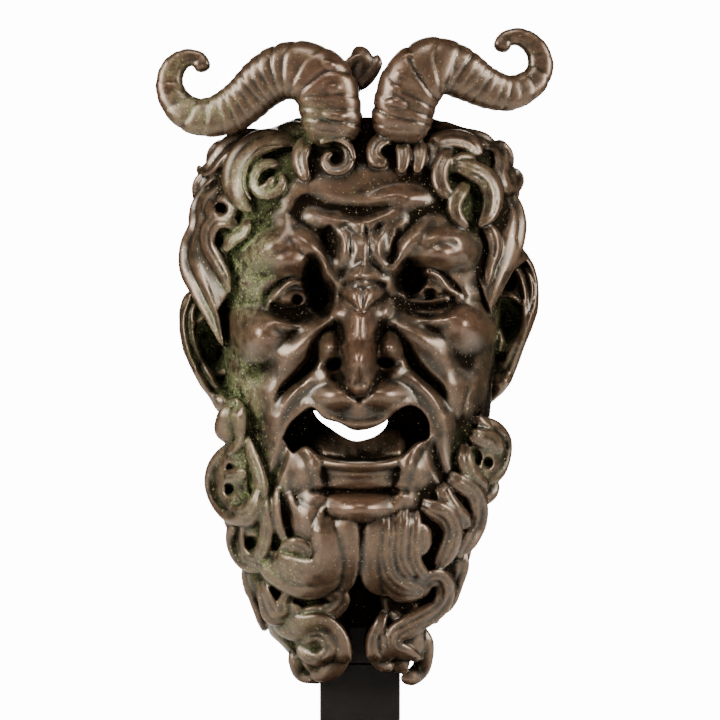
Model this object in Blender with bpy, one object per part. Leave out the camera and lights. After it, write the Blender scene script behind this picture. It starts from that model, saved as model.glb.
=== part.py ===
"""Satyr fountain mask: a hollow bronze casting, open at the back, on the cradle, post and foot that hold it up.

The carving is set out on a sculptor's squaring grid laid over the front view.
gx runs to the viewer's right, gz runs up from the beard's tip, and depth comes forward from the back rim.
One grid unit is UNIT metres, so the carving follows the mask's height.
The walls, the post, the foot and the cradle keep sizes of their own.
"""
import math

import bmesh
import bpy
import numpy as np

# %% Clear the scene
for old in list(bpy.data.objects):
    bpy.data.objects.remove(old, do_unlink=True)

# %% Driving sizes, metres
MASK_HEIGHT = 0.431          # beard tip to the top of the horns
WALL = 0.006                 # bronze between the face and the hollow behind it
GAP = 0.0003                 # air between pieces that touch

FOOT_WIDTH = 0.190
FOOT_DEPTH = 0.190
FOOT_THICKNESS = 0.018
FOOT_EDGE = 0.0015           # bevel on the foot's edges
POST_SIDE = 0.053            # square post
POST_EDGE = 0.001
POST_CENTRE_Y = 0.050        # the post stands behind the foot's middle, so the mask's weight is over the foot
BEARD_CLEARANCE = 0.070      # beard tip to the top of the foot

CRADLE_WIDTH = 0.020         # flat bar behind the beard
CRADLE_THICKNESS = 0.008
ARM_WIDTH = 0.012            # arm that reaches into the hollow
ARM_THICKNESS = 0.008
BAR_WIDTH = 0.050            # cross-bar at the arm's end, under the mouth
BAR_DEPTH = 0.012

# %% The squaring grid
GRID_ROWS = 663              # beard tip to horn top on the squaring grid
UNIT = MASK_HEIGHT / GRID_ROWS
RIM_Y = 0.032                # the back rim's plane
GRID_ZERO_Z = FOOT_THICKNESS + BEARD_CLEARANCE
POST_TOP_ROW = 22            # the post's top shows at this row behind the beard
SEAT_ROW = 64                # the cradle carries the beard's root here
BAR_TOP_ROW = 217            # and the bronze around the mouth here
BAR_FRONT_DEPTH = 98

# %% How fine the solids are
HEAD_ROWS = 220
HEAD_COLUMNS = 150
LOCK_ALONG = 26
LOCK_AROUND = 12
VOXEL = 0.0026
HAIR_PLUMPNESS = 1.45        # how much fuller the locks are than their centre lines say
BEARD_PLUMPNESS = 1.5
LOCK_FLATNESS = 0.7          # thickness of a lock over its width
MASK_TRIANGLES = 8600

# %% Materials
BRONZE_COLOR = (0.060, 0.030, 0.016, 1.0)
BLACK_COLOR = (0.010, 0.009, 0.009, 1.0)
STEEL_COLOR = (0.030, 0.030, 0.032, 1.0)


def principled(name, color, roughness, metallic):
    """A material of one colour."""
    material = bpy.data.materials.new(name)
    material.use_nodes = True
    shader = material.node_tree.nodes["Principled BSDF"]
    shader.inputs["Base Color"].default_value = color
    shader.inputs["Roughness"].default_value = roughness
    shader.inputs["Metallic"].default_value = metallic
    return material


bronze = principled("dark bronze", BRONZE_COLOR, 0.35, 1.0)
black_paint = principled("black painted steel", BLACK_COLOR, 0.5, 0.0)
cradle_paint = principled("black painted cradle", STEEL_COLOR, 0.5, 0.0)


# %% Curves through a few knots
def knot_curve(knots, blur=12):
    """A smooth function of gz through (gz, value) knots."""
    rows = np.arange(-60, 720)
    values = np.interp(rows, [row for row, _ in knots], [value for _, value in knots])
    kernel = np.ones(blur) / blur
    for _ in range(2):
        padded = np.pad(values, blur, mode="edge")
        values = np.convolve(padded, kernel, mode="same")[blur:-blur]
    return lambda gz: np.interp(gz, rows, values)


# Half width of the head behind the hair, and how far forward it comes, at each row.
HEAD_BOTTOM, HEAD_TOP = 58, 566
half_width = knot_curve([(58, 26), (75, 48), (100, 80), (140, 104), (180, 121), (215, 131), (250, 130),
                         (290, 134), (340, 141), (380, 145), (420, 150), (460, 154), (500, 150),
                         (530, 130), (550, 100), (560, 70), (566, 50)])
fore_depth = knot_curve([(0, 45), (30, 58), (58, 62), (100, 88), (140, 110), (180, 122), (220, 126),
                         (300, 130), (380, 128), (460, 126), (500, 117), (540, 100), (570, 82), (600, 58)])
# The hair and beard lie on a wider dome, so that the locks turn back towards the rim.
hair_width = knot_curve([(0, 62), (30, 84), (60, 104), (100, 126), (140, 142), (180, 152), (220, 160),
                         (300, 168), (340, 182), (400, 192), (460, 190), (500, 182), (540, 162),
                         (570, 124), (600, 90)])
FACE_FULLNESS = 2.5          # exponent of the section: 2 is an ellipse, more is squarer
HAIR_FULLNESS = 2.2


def dome(gx, width, depth, fullness):
    """Depth of a rounded section at gx."""
    share = np.clip(np.abs(gx) / width, 0.0, 1.0)
    return depth * (1.0 - share ** fullness) ** (1.0 / fullness)


def hair_depth(gx, gz):
    return dome(gx, hair_width(gz), fore_depth(gz), HAIR_FULLNESS)


def smooth_path(points, count):
    """Points spread evenly along a smooth path through the given ones, all columns together."""
    knots = np.array(points, dtype=float)
    if len(knots) == 1:
        return np.repeat(knots, count, axis=0)
    steps = np.sqrt(((knots[1:, :2] - knots[:-1, :2]) ** 2).sum(axis=1))
    along = np.concatenate([[0.0], np.cumsum(np.maximum(steps, 1e-6))])
    slopes = np.gradient(knots, along, axis=0)
    at = np.linspace(0.0, along[-1], count)
    index = np.clip(np.searchsorted(along, at, side="right") - 1, 0, len(knots) - 2)
    span = (along[index + 1] - along[index])[:, None]
    t = (at - along[index])[:, None] / span
    start, end = knots[index], knots[index + 1]
    start_slope, end_slope = slopes[index] * span, slopes[index + 1] * span
    return ((2 * t ** 3 - 3 * t ** 2 + 1) * start + (t ** 3 - 2 * t ** 2 + t) * start_slope
            + (-2 * t ** 3 + 3 * t ** 2) * end + (t ** 3 - t ** 2) * end_slope)


# %% The face, as swellings and strokes on the dome
# Each swelling is (gx, gz, half width, half height, lift). A hollow has a lift below zero.
SWELLINGS = [
    (0, 488, 95, 34, 7),                                    # forehead
    (-72, 432, 52, 26, 14), (76, 438, 52, 26, 14),          # brows
    (0, 438, 34, 34, 12),                                   # knot between the brows
    (-62, 388, 44, 30, -24), (64, 394, 44, 30, -22),        # eye sockets
    (-38, 400, 22, 34, -18), (42, 404, 18, 26, -10),        # deep inner corners
    (-68, 391, 27, 17, 17), (68, 397, 28, 17, 17),          # eyeballs
    (-8, 397, 16, 15, 8), (13, 397, 16, 15, 8),             # root of the nose
    (-28, 343, 19, 20, 26), (28, 343, 19, 20, 26),          # wings of the nose
    (0, 330, 26, 26, 18),                                   # tip of the nose
    (-100, 352, 36, 34, 12), (104, 362, 38, 34, 15),        # cheeks
    (0, 294, 62, 26, 20), (-28, 292, 26, 20, 6), (28, 292, 28, 20, 8),   # upper lip
    (0, 226, 60, 15, 16),                                   # lower lip
    (0, 180, 50, 27, 22),                                   # chin
    (-58, 222, 26, 32, 9), (58, 225, 24, 34, 9),            # folds beside the chin
    (-96, 240, 22, 50, -6), (96, 250, 22, 50, -5),          # hollows of the cheeks
]
# Each stroke is a list of (gx, gz, half width, lift) along a ridge or a groove.
STROKES = [
    [(0, 410, 20, 18), (0, 380, 22, 30), (-1, 355, 25, 38), (-1, 332, 27, 38), (0, 312, 20, 22)],    # nose
    [(-62, 475, 9, -3), (-40, 489, 10, -7), (-15, 477, 10, -9), (15, 473, 10, -9), (40, 481, 9, -3)],
    [(-22, 470, 8, 3), (0, 465, 9, 6), (22, 470, 9, 6), (58, 488, 8, 3)],
    [(-110, 420, 12, 2), (-88, 446, 14, 7), (-72, 478, 12, 4)],
    [(-62, 455, 9, 4), (-46, 440, 10, 8), (-34, 418, 9, 6)],
    [(-36, 466, 8, 3), (-20, 455, 9, 8), (-15, 438, 8, 7), (-24, 428, 7, 3)],
    [(45, 467, 8, 3), (28, 458, 9, 7), (19, 438, 8, 7), (28, 420, 8, 4)],
    [(62, 442, 9, 5), (78, 455, 10, 7), (98, 450, 10, 5), (110, 432, 9, 2)],
    [(-40, 448, 7, -8), (-30, 432, 7, -8)], [(40, 452, 7, -7), (34, 432, 7, -7)], [(5, 462, 6, -6), (5, 430, 6, -6)],
    [(-28, 372, 10, 5), (-55, 348, 12, 14), (-82, 324, 13, 8), (-92, 290, 12, 3)],
    [(-36, 356, 9, -8), (-47, 335, 11, -16), (-62, 314, 10, -12), (-84, 290, 9, -5)],
    [(30, 364, 10, 5), (60, 352, 12, 13), (84, 330, 13, 9), (96, 290, 12, 3)],
    [(38, 350, 9, -8), (50, 330, 11, -15), (68, 312, 10, -12), (86, 290, 9, -5)],
    [(-90, 386, 7, 2), (-75, 401, 6, 4), (-60, 406, 6, 4), (-48, 396, 6, 2)],
    [(44, 398, 6, 2), (58, 413, 6, 4), (80, 411, 6, 4), (97, 395, 6, 2)],
    [(-92, 382, 7, 3), (-72, 372, 8, 5), (-50, 374, 7, 3)], [(48, 380, 7, 3), (72, 378, 8, 5), (94, 390, 7, 3)],
    [(-50, 202, 7, -5), (0, 200, 7, -8), (48, 202, 7, -5)],
    [(-62, 252, 9, 8), (-46, 226, 9, 6), (-38, 200, 8, 3)], [(62, 250, 9, 8), (46, 226, 9, 6), (38, 196, 8, 3)],
    [(-75, 240, 9, -5), (-86, 205, 9, -5)], [(72, 240, 9, -5), (84, 212, 9, -5)],
    [(-18, 312, 6, -4), (0, 293, 6, -6), (14, 308, 6, -4)],
]
NOSTRILS = [(-25, 325, 8, 7, -18), (25, 327, 9, 7, -18)]


def swell(gx, gz, form):
    centre_x, centre_z, wide, high, lift = form
    reach = ((gx - centre_x) / wide) ** 2 + ((gz - centre_z) / high) ** 2
    return lift * np.clip(1.0 - reach, 0.0, 1.0) ** 2


def stroke_lift(gx, gz, points):
    """Lift of a tapering ridge or groove: the path is cut into short straight steps."""
    path = smooth_path(points, max(3, 4 * len(points)))
    lift = np.zeros_like(gx)
    nearest = np.full_like(gx, 1e9)
    for start, end in zip(path[:-1], path[1:]):
        run = end[:2] - start[:2]
        t = np.clip(((gx - start[0]) * run[0] + (gz - start[1]) * run[1]) / (run @ run), 0.0, 1.0)
        away = np.hypot(gx - start[0] - t * run[0], gz - start[1] - t * run[1])
        wide = start[2] + t * (end[2] - start[2])
        high = start[3] + t * (end[3] - start[3])
        share = away / wide
        closer = share < nearest
        lift = np.where(closer, high * np.clip(1.0 - share ** 2, 0.0, 1.0) ** 2, lift)
        nearest = np.where(closer, share, nearest)
    return lift


def face_lift(gx, gz):
    gx, gz = np.asarray(gx, dtype=float), np.asarray(gz, dtype=float)
    total = np.zeros_like(gx)
    for form in SWELLINGS + NOSTRILS:
        total += swell(gx, gz, form)
    for points in STROKES:
        total += stroke_lift(gx, gz, points)
    return total


def head_depth(gx, gz):
    """How far forward the carved head comes at a place on the grid."""
    base = dome(gx, half_width(gz), fore_depth(gz), FACE_FULLNESS)
    fade = np.clip(base / 40.0, 0.0, 1.0)
    return base + fade * face_lift(gx, gz)


def in_metres(gx, gz, depth):
    """Grid places as an array of points in metres."""
    return np.stack([gx * UNIT, RIM_Y - depth * UNIT, GRID_ZERO_Z + gz * UNIT], axis=1)


# %% Small mesh helpers
def ball_mesh(around, along):
    """A ball whose rows and columns other shapes are made from, with each vertex's turn and share of height."""
    bm = bmesh.new()
    bmesh.ops.create_uvsphere(bm, u_segments=around, v_segments=along, radius=1.0)
    co = np.array([vertex.co for vertex in bm.verts])
    turn = np.arctan2(co[:, 1], co[:, 0])
    share = np.arccos(np.clip(-co[:, 2], -1.0, 1.0)) / math.pi
    return bm, turn, share


def set_points(bm, points):
    for vertex, point in zip(bm.verts, points):
        vertex.co = point


def add_to(target, bm):
    """Puts a finished form into the mesh that gathers them, facing outwards."""
    bmesh.ops.recalc_face_normals(bm, faces=bm.faces)
    mesh = bpy.data.meshes.new("form")
    bm.to_mesh(mesh)
    bm.free()
    target.from_mesh(mesh)
    bpy.data.meshes.remove(mesh)


def finish_object(name, bm, material):
    mesh = bpy.data.meshes.new(name)
    bm.to_mesh(mesh)
    bm.free()
    mesh.materials.append(material)
    obj = bpy.data.objects.new(name, mesh)
    bpy.context.collection.objects.link(obj)
    return obj


def add_lock(target, points, ribs=0, rib_lift=0.12, flat=1.0, rings=0.0, ring_step=0.0, around=LOCK_AROUND,
             along=LOCK_ALONG):
    """A tapering lock, horn or rim along (gx, gz, depth, radius) points: a ball drawn out along the path."""
    bm, turn, share = ball_mesh(around, along)
    fine = smooth_path(points, 8 * along)
    centre_line = fine[:, :3]
    tangent = np.gradient(centre_line, axis=0)
    tangent /= np.linalg.norm(tangent, axis=1)[:, None] + 1e-9
    forward = np.array([0.0, 0.0, 1.0])
    across = np.cross(tangent, forward)
    across /= np.linalg.norm(across, axis=1)[:, None] + 1e-9
    outward = np.cross(across, tangent)
    length = np.concatenate([[0.0], np.cumsum(np.linalg.norm(np.diff(centre_line, axis=0), axis=1))])
    row = share * (len(fine) - 1)

    def at_row(column):
        return np.interp(row, np.arange(len(fine)), column)

    radius = at_row(fine[:, 3])
    distance = at_row(length)
    # The ends are rounded over their own radius.
    head_end = np.clip(distance / (radius + 1e-6), 0.0, 1.0)
    tail_end = np.clip((length[-1] - distance) / (radius + 1e-6), 0.0, 1.0)
    rounding = np.sqrt(np.clip(1.0 - (1.0 - head_end) ** 2, 0.0, 1.0) * np.clip(1.0 - (1.0 - tail_end) ** 2, 0.0, 1.0))
    radius = radius * rounding
    if ribs:
        radius = radius * (1.0 + rib_lift * np.cos(ribs * turn))
    if rings:
        radius = radius * (1.0 + rings * np.cos(2.0 * math.pi * distance / ring_step))
    wide, thick = radius * np.cos(turn), radius * np.sin(turn) * flat
    place = [at_row(centre_line[:, k]) + wide * at_row(across[:, k]) + thick * at_row(outward[:, k]) for k in range(3)]
    set_points(bm, in_metres(place[0], place[1], place[2]))
    add_to(target, bm)


def curl(centre_x, centre_z, start_radius, end_radius, start_deg, sweep_deg, lift, start_width, end_width, squash=1.0):
    """Points of a lock that winds around a centre: angles run anticlockwise from the viewer's right."""
    count = max(4, int(abs(sweep_deg) / 40) + 1)
    points = []
    for k in range(count):
        t = k / (count - 1)
        angle = math.radians(start_deg + sweep_deg * t)
        reach = start_radius + (end_radius - start_radius) * t
        points.append((centre_x + reach * math.cos(angle) * squash, centre_z + reach * math.sin(angle),
                       lift, start_width + (end_width - start_width) * t))
    return points


def on_hair(points, fullness=1.0):
    """Turns (gx, gz, lift, radius) into (gx, gz, depth, radius), the lift measured from the hair's dome."""
    return [(gx, gz, float(hair_depth(gx, gz)) + lift, radius * fullness) for gx, gz, lift, radius in points]


def rim_locks():
    """The hidden sides: plain waves of hair and beard that run from the front back to the rim, clear of the ears."""
    waves = []
    for side in (-1, 1):
        for row in list(range(110, 280, 34)) + list(range(470, 560, 30)):
            reach = abs(float((mane_left if side < 0 else mane_right)(row))) - RIM_WAVE_INSET
            waves.append([(side * (reach - 6), row + 20, 44, 8), (side * (reach + 3), row + 6, 34, 12),
                          (side * (reach + 1), row - 8, 22, 13), (side * (reach - 3), row - 22, 15, 11)])
    return waves


# %% The mane: one mass under the locks, set back behind the face, with deep hollows
# The side lines are (gz, gx). The mane's low and high ends are the first and last rows.
MANE_LEFT = [(24, -66), (40, -80), (50, -92), (70, -96), (85, -103), (100, -112), (115, -116), (125, -126), (160, -122),
             (172, -130), (182, -139), (195, -145), (218, -146), (231, -142), (241, -134), (250, -124), (262, -128),
             (278, -135), (300, -134), (340, -138), (373, -146), (400, -160), (430, -177), (452, -173), (468, -168),
             (480, -169), (495, -167), (503, -162), (512, -155), (522, -158), (531, -148), (541, -139), (550, -128),
             (558, -104), (566, -80), (574, -60)]
MANE_RIGHT = [(24, 62), (46, 68), (60, 64), (72, 78), (83, 87), (92, 95), (101, 96), (117, 104), (134, 103), (154, 116),
              (170, 122), (185, 122), (198, 131), (211, 135), (222, 143), (239, 146), (253, 146), (263, 137), (274, 122),
              (290, 120), (340, 132), (378, 132), (416, 150), (430, 168), (445, 163), (450, 160), (470, 162), (488, 157),
              (494, 153), (502, 158), (508, 161), (524, 156), (530, 149), (545, 142), (554, 128), (561, 100), (570, 82),
              (574, 66)]
FACE_OUTLINE = [(-70, 505), (-84, 494), (-104, 466), (-120, 430), (-124, 396), (-131, 350), (-128, 296), (-112, 254),
                (-94, 214), (-80, 186), (-56, 164), (-30, 156), (0, 152), (30, 156), (56, 176), (78, 206), (98, 216),
                (112, 248), (124, 290), (136, 330), (136, 360), (124, 394), (114, 424), (106, 450), (92, 476), (78, 498),
                (60, 512), (20, 516), (-30, 512)]
MANE_COLUMNS, MANE_ROWS = 90, 150
MANE_BACK = 2
MANE_SET_BACK = 7            # how far the mane lies behind the hair's dome
FACE_SET_BACK = 40           # and how much further inside the face's outline
RIM_WAVE_INSET = 9.0         # the rim waves stand this far inside the mane's side line
MANE_FLOOR = 8               # the mane is never shallower than this
OUTLINE_SLOPE = 3.0
END_BLUNT = 8.0              # a slab's edges are rounded over this many units
HOLLOWS = [
    (-33, 525, 9, 9, -20), (-91, 513, 15, 13, -14), (-118, 483, 8, 7, -20), (-138, 480, 9, 9, -24), (-143, 450, 9, 9, -22),
    (-126, 432, 7, 11, -22), (93, 507, 7, 7, -20), (108, 487, 9, 13, -14), (-131, 220, 8, 8, -28), (-131, 200, 8, 8, -28),
    (-72, 170, 8, 10, -24), (-58, 156, 6, 7, -22), (-86, 149, 7, 8, -24), (-109, 146, 11, 9, -28), (-118, 155, 6, 6, -22),
    (-84, 94, 9, 12, -28), (-61, 87, 8, 8, -28), (-40, 92, 7, 6, -22), (114, 232, 9, 11, -28), (128, 227, 6, 7, -24),
    (100, 157, 6, 6, -22), (78, 150, 10, 20, -30), (44, 110, 7, 7, -26), (70, 90, 9, 9, -28), (2, 74, 24, 62, -80),
    (2, 38, 20, 30, -60), (-134, 262, 6, 10, -12),
]
MANE_GROOVES = [
    [(-147, 507, 5, -8), (-160, 496, 5, -16), (-163, 480, 5, -18), (-155, 460, 5, -12)],
    [(-125, 442, 4, -10), (-128, 420, 5, -22), (-127, 398, 4, -12)],
    [(108, 503, 4, -8), (120, 498, 4, -16), (123, 486, 4, -16), (115, 464, 4, -8)],
    [(35, 545, 4, -12), (35, 518, 4, -12)], [(49, 546, 4, -12), (49, 518, 4, -12)], [(63, 548, 4, -12), (64, 518, 4, -12)],
    [(-110, 227, 4, -12), (-109, 212, 5, -20), (-108, 198, 4, -12)], [(-88, 192, 5, -12), (-92, 165, 5, -14)],
    [(-65, 166, 4, -12), (-66, 152, 4, -18), (-60, 147, 4, -10)], [(105, 187, 4, -16), (114, 177, 4, -14)],
    [(1, 146, 5, -14), (1, 124, 6, -30), (0, 96, 6, -26)],
]


def closed_path(corners, count):
    return smooth_path(corners + [corners[0]], count + 1)[:-1]


def inside_share(gx, gz, outline):
    """One inside the outline, nothing outside, and a short slope between."""
    inside = np.zeros(gx.shape, dtype=bool)
    edge_distance = np.full(gx.shape, 1e9)
    for (ax, az), (bx, bz) in zip(outline, np.roll(outline, -1, axis=0)):
        crosses = ((az > gz) != (bz > gz)) & (gx < (bx - ax) * (gz - az) / (bz - az + 1e-12) + ax)
        inside ^= crosses
        t = np.clip(((gx - ax) * (bx - ax) + (gz - az) * (bz - az)) / ((bx - ax) ** 2 + (bz - az) ** 2 + 1e-12), 0, 1)
        edge_distance = np.minimum(edge_distance, np.hypot(gx - ax - t * (bx - ax), gz - az - t * (bz - az)))
    return np.clip(np.where(inside, 1.0, -1.0) * edge_distance / OUTLINE_SLOPE, 0.0, 1.0)


face_outline = closed_path(FACE_OUTLINE, 6 * len(FACE_OUTLINE))
mane_left, mane_right = knot_curve(MANE_LEFT, blur=4), knot_curve(MANE_RIGHT, blur=4)


def mane_depth(gx, gz):
    """How far forward the mane comes, with its hollows."""
    lift = sum(swell(gx, gz, form) for form in HOLLOWS)
    for points in MANE_GROOVES:
        lift = lift + stroke_lift(gx, gz, points)
    set_back = MANE_SET_BACK + FACE_SET_BACK * inside_share(gx, gz, face_outline)
    return np.maximum(hair_depth(gx, gz) - set_back + lift, MANE_FLOOR)


def add_slab(target, left_knots, right_knots, columns, rows, depth_of, back):
    """A closed relief between two side lines: a grid set to the depth rule, and drawn back."""
    left, right = knot_curve(left_knots, blur=4), knot_curve(right_knots, blur=4)
    low, high = left_knots[0][0], left_knots[-1][0]
    bm = bmesh.new()
    bmesh.ops.create_grid(bm, x_segments=columns, y_segments=rows, size=1.0)
    co = np.array([vertex.co for vertex in bm.verts])
    across, up = np.sin(co[:, 0] * math.pi / 2.0), co[:, 1]
    gz = low + (high - low) * (up + 1.0) / 2.0
    middle, half = (left(gz) + right(gz)) / 2.0, (right(gz) - left(gz)) / 2.0
    gx = middle + half * across
    edge = np.minimum((1.0 - np.abs(across)) * half, (1.0 - np.abs(up)) * (high - low) / 2.0)
    rounding = np.sqrt(np.clip(1.0 - (1.0 - np.clip(edge / END_BLUNT, 0.0, 1.0)) ** 2, 0.0, 1.0))
    set_points(bm, in_metres(gx, gz, depth_of(gx, gz) - END_BLUNT * (1.0 - rounding)))
    drawn = bmesh.ops.extrude_face_region(bm, geom=bm.faces[:])
    for vertex in (item for item in drawn["geom"] if isinstance(item, bmesh.types.BMVert)):
        vertex.co.y = RIM_Y - back * UNIT
    add_to(target, bm)


# %% Hair, beard, brow curls: locks as (gx, gz, lift, radius)
HAIR = [
    # The viewer's left, from the crown down.
    [(-84, 550, -6, 8), (-72, 558, -8, 9), (-56, 556, -8, 9)],
    [(-84, 549, -4, 8), (-104, 549, -6, 9), (-126, 545, -10, 10), (-142, 530, -14, 9), (-154, 519, -16, 7), (-163, 523, -18, 4)],
    curl(-95, 517, 29, 8, 60, 420, 6, 9, 5),
    [(-131, 508, 0, 6), (-129, 492, 1, 7), (-119, 478, 2, 6), (-106, 476, 2, 5), (-98, 485, 2, 3)],
    [(-138, 512, -10, 7), (-153, 500, -16, 9), (-160, 482, -20, 10), (-161, 464, -20, 10), (-166, 444, -24, 12),
     (-165, 424, -22, 12), (-156, 399, -18, 9), (-146, 372, -16, 6), (-136, 345, -14, 3)],
    curl(-139, 481, 13, 11, 120, 360, -4, 5, 5),
    [(-106, 459, 0, 4), (-122, 467, 2, 6), (-138, 471, -2, 7), (-150, 462, -8, 7), (-152, 444, -12, 6),
     (-143, 426, -12, 5), (-133, 412, -10, 3)],
    [(-112, 474, 0, 4), (-116, 452, -2, 5), (-126, 452, -4, 5), (-134, 440, -6, 5)],
    # The viewer's right, from the crown down.
    [(66, 572, -8, 10), (84, 562, -8, 11), (102, 552, -6, 10), (122, 549, -8, 8), (138, 540, -12, 7)],
    curl(95, 520, 27, 10, 50, 330, 6, 8, 5),
    curl(112, 487, 22, 8, 70, -330, 6, 8, 5, 0.9),
    [(112, 545, -2, 6), (126, 535, -2, 7), (138, 540, -6, 7), (144, 528, -10, 6), (145, 514, -10, 6), (154, 514, -14, 8)],
    [(122, 512, -4, 6), (138, 503, -10, 9), (150, 488, -14, 11), (152, 466, -16, 13), (151, 445, -18, 14),
     (146, 424, -18, 11), (138, 402, -16, 7), (131, 378, -12, 3)],
    [(120, 470, 0, 5), (132, 462, -4, 7), (136, 444, -8, 7), (131, 424, -8, 5), (127, 404, -8, 3)],
    # Curls on the brow.
    curl(-26, 530, 21, 5, 150, -400, 14, 7, 5),
    [(-52, 552, 8, 7), (-60, 530, 8, 7), (-54, 510, 8, 5)],
    [(40, 542, 12, 5), (28, 551, 14, 6), (15, 543, 15, 6), (14, 530, 16, 7), (22, 525, 18, 9)],
    [(40, 550, 10, 8), (43, 532, 12, 8), (41, 517, 12, 6)],
    [(56, 552, 8, 8), (59, 534, 10, 8), (56, 517, 10, 6)],
    [(70, 556, 4, 8), (74, 536, 6, 7), (70, 518, 6, 5)],
    # The tuft behind the horns.
    [(-24, 556, -10, 12), (-22, 590, -12, 10), (-14, 616, -12, 9), (-8, 634, -12, 7), (-5, 645, -14, 7)],
    [(-20, 600, -12, 8), (-6, 612, -10, 7), (6, 622, -10, 6), (16, 634, -12, 4), (20, 640, -12, 3)],
]
BEARD = [
    # The viewer's left, from the ear down.
    [(-126, 286, -8, 9), (-130, 264, -14, 12), (-132, 246, -16, 11)],
    [(-114, 246, -4, 6), (-130, 240, -12, 7), (-143, 226, -18, 7), (-147, 206, -20, 8), (-142, 187, -18, 7),
     (-128, 174, -10, 7), (-112, 175, -4, 8), (-103, 186, 0, 7), (-100, 202, 0, 5)],
    [(-142, 213, -18, 4), (-130, 213, -12, 5), (-116, 216, -8, 5)],
    [(-110, 270, 0, 4), (-106, 240, 2, 5), (-99, 215, 2, 6), (-97, 195, 2, 6)],
    [(-116, 176, -8, 6), (-125, 160, -14, 7), (-125, 142, -16, 7), (-116, 128, -12, 7), (-100, 122, -4, 7)],
    [(-92, 204, 0, 5), (-94, 182, 0, 6), (-93, 160, 0, 6), (-97, 140, -2, 6), (-104, 126, -4, 5)],
    [(-82, 204, 0, 4), (-82, 182, 2, 5), (-79, 162, 2, 5), (-70, 146, 2, 4)],
    [(-70, 200, 0, 4), (-62, 182, 4, 5), (-61, 164, 4, 5), (-66, 150, 2, 4)],
    curl(-63, 133, 15, 4, 160, -330, 10, 6, 5),
    [(-98, 142, -6, 10), (-88, 125, -2, 13), (-70, 116, 2, 14), (-52, 112, 6, 15), (-36, 118, 8, 14), (-28, 136, 10, 12),
     (-34, 156, 8, 9)],
    [(-116, 132, -18, 6), (-110, 112, -18, 7), (-106, 92, -18, 6), (-99, 72, -18, 6), (-97, 54, -18, 4)],
    [(-100, 112, -4, 5), (-95, 90, -2, 6), (-86, 73, 0, 8), (-76, 74, 0, 7), (-74, 90, 0, 5), (-66, 98, 2, 4)],
    [(-46, 98, 0, 6), (-30, 98, 0, 7), (-20, 92, -2, 7), (-28, 80, -4, 7), (-46, 76, -2, 6), (-60, 74, 0, 6), (-66, 84, 2, 4)],
    [(-90, 78, -10, 6), (-76, 62, -4, 9), (-58, 60, 0, 10), (-38, 62, 2, 9), (-24, 48, 0, 9), (-22, 30, -2, 9),
     (-34, 16, -4, 9), (-50, 12, -6, 8)],
    [(-72, 50, -6, 6), (-56, 50, 2, 6), (-40, 52, 4, 6), (-32, 41, 4, 6), (-40, 30, 4, 6), (-54, 32, 0, 5), (-62, 40, -2, 4)],
    [(-66, 42, -12, 6), (-62, 26, -12, 7), (-58, 13, -12, 6), (-46, 9, -8, 5), (-40, 3, -8, 4)],
    [(-60, 26, -14, 5), (-69, 22, -16, 5)],
    # The viewer's right, from the ear down.
    [(116, 288, -6, 5), (118, 272, -8, 6), (132, 263, -14, 7), (143, 250, -20, 7), (143, 232, -20, 7), (136, 217, -18, 7),
     (122, 208, -10, 6)],
    [(108, 264, 0, 5), (118, 253, -4, 7), (132, 248, -10, 7), (140, 236, -14, 6)],
    [(104, 246, 0, 5), (106, 226, 0, 6), (114, 212, -2, 6), (124, 200, -8, 6)],
    [(133, 212, -18, 6), (130, 198, -16, 7), (120, 189, -10, 6)],
    [(84, 220, 0, 5), (98, 208, 2, 7), (112, 200, -4, 7), (119, 184, -10, 7), (118, 166, -12, 7), (110, 150, -10, 7),
     (100, 136, -8, 7)],
    [(78, 210, 0, 5), (86, 192, 2, 6), (96, 176, 2, 7), (106, 166, -2, 6)],
    [(56, 190, 2, 6), (72, 182, 4, 7), (86, 174, 4, 8), (92, 158, 2, 7), (88, 142, 0, 7), (78, 124, 0, 6)],
    curl(59, 153, 13, 12, 90, 360, 8, 4, 4, 0.55),
    [(12, 152, 6, 6), (10, 130, 6, 7), (13, 110, 6, 7), (26, 98, 4, 7)],
    [(25, 156, 8, 6), (22, 136, 10, 7), (26, 116, 10, 8), (40, 102, 8, 9), (58, 98, 6, 8)],
    [(38, 154, 8, 6), (36, 134, 10, 7), (42, 118, 10, 7), (54, 108, 8, 6)],
    [(50, 150, 6, 6), (48, 132, 8, 7), (54, 118, 8, 7), (64, 110, 6, 6)],
    [(44, 96, 0, 6), (60, 98, 4, 7), (68, 110, 4, 7), (80, 111, 2, 7), (86, 98, 0, 7), (82, 84, 0, 7), (66, 72, 0, 8),
     (48, 62, 2, 8), (36, 54, 2, 7), (35, 42, 2, 6), (48, 35, 2, 6), (60, 27, 0, 5)],
    [(24, 78, -2, 5), (19, 62, -2, 5), (13, 50, -4, 5), (13, 34, -4, 5), (20, 24, -4, 5), (34, 20, -4, 5)],
    [(25, 62, 0, 4), (27, 46, 0, 5), (28, 30, -2, 5)],
    [(58, 62, -6, 7), (65, 46, -8, 7), (65, 30, -8, 7), (60, 15, -8, 7), (48, 8, -6, 6), (41, 9, -6, 4)],
    [(104, 142, -14, 6), (102, 122, -14, 6), (96, 104, -14, 6), (90, 88, -14, 6), (78, 74, -12, 6)],
    [(70, 72, -12, 5), (80, 68, -14, 5)], [(94, 100, -14, 4), (93, 94, -16, 4)],
    # Roots under the chin that the curls grow from.
    [(-34, 160, 4, 12), (-30, 140, 2, 12), (-24, 116, 0, 12), (-26, 98, -6, 10)],
    [(30, 160, 2, 12), (30, 130, 2, 12), (36, 108, -2, 10)],
    [(-50, 84, -14, 14), (-50, 62, -12, 14), (-46, 36, -12, 14)], [(44, 84, -14, 13), (46, 62, -12, 13), (50, 32, -12, 12)],
]

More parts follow.
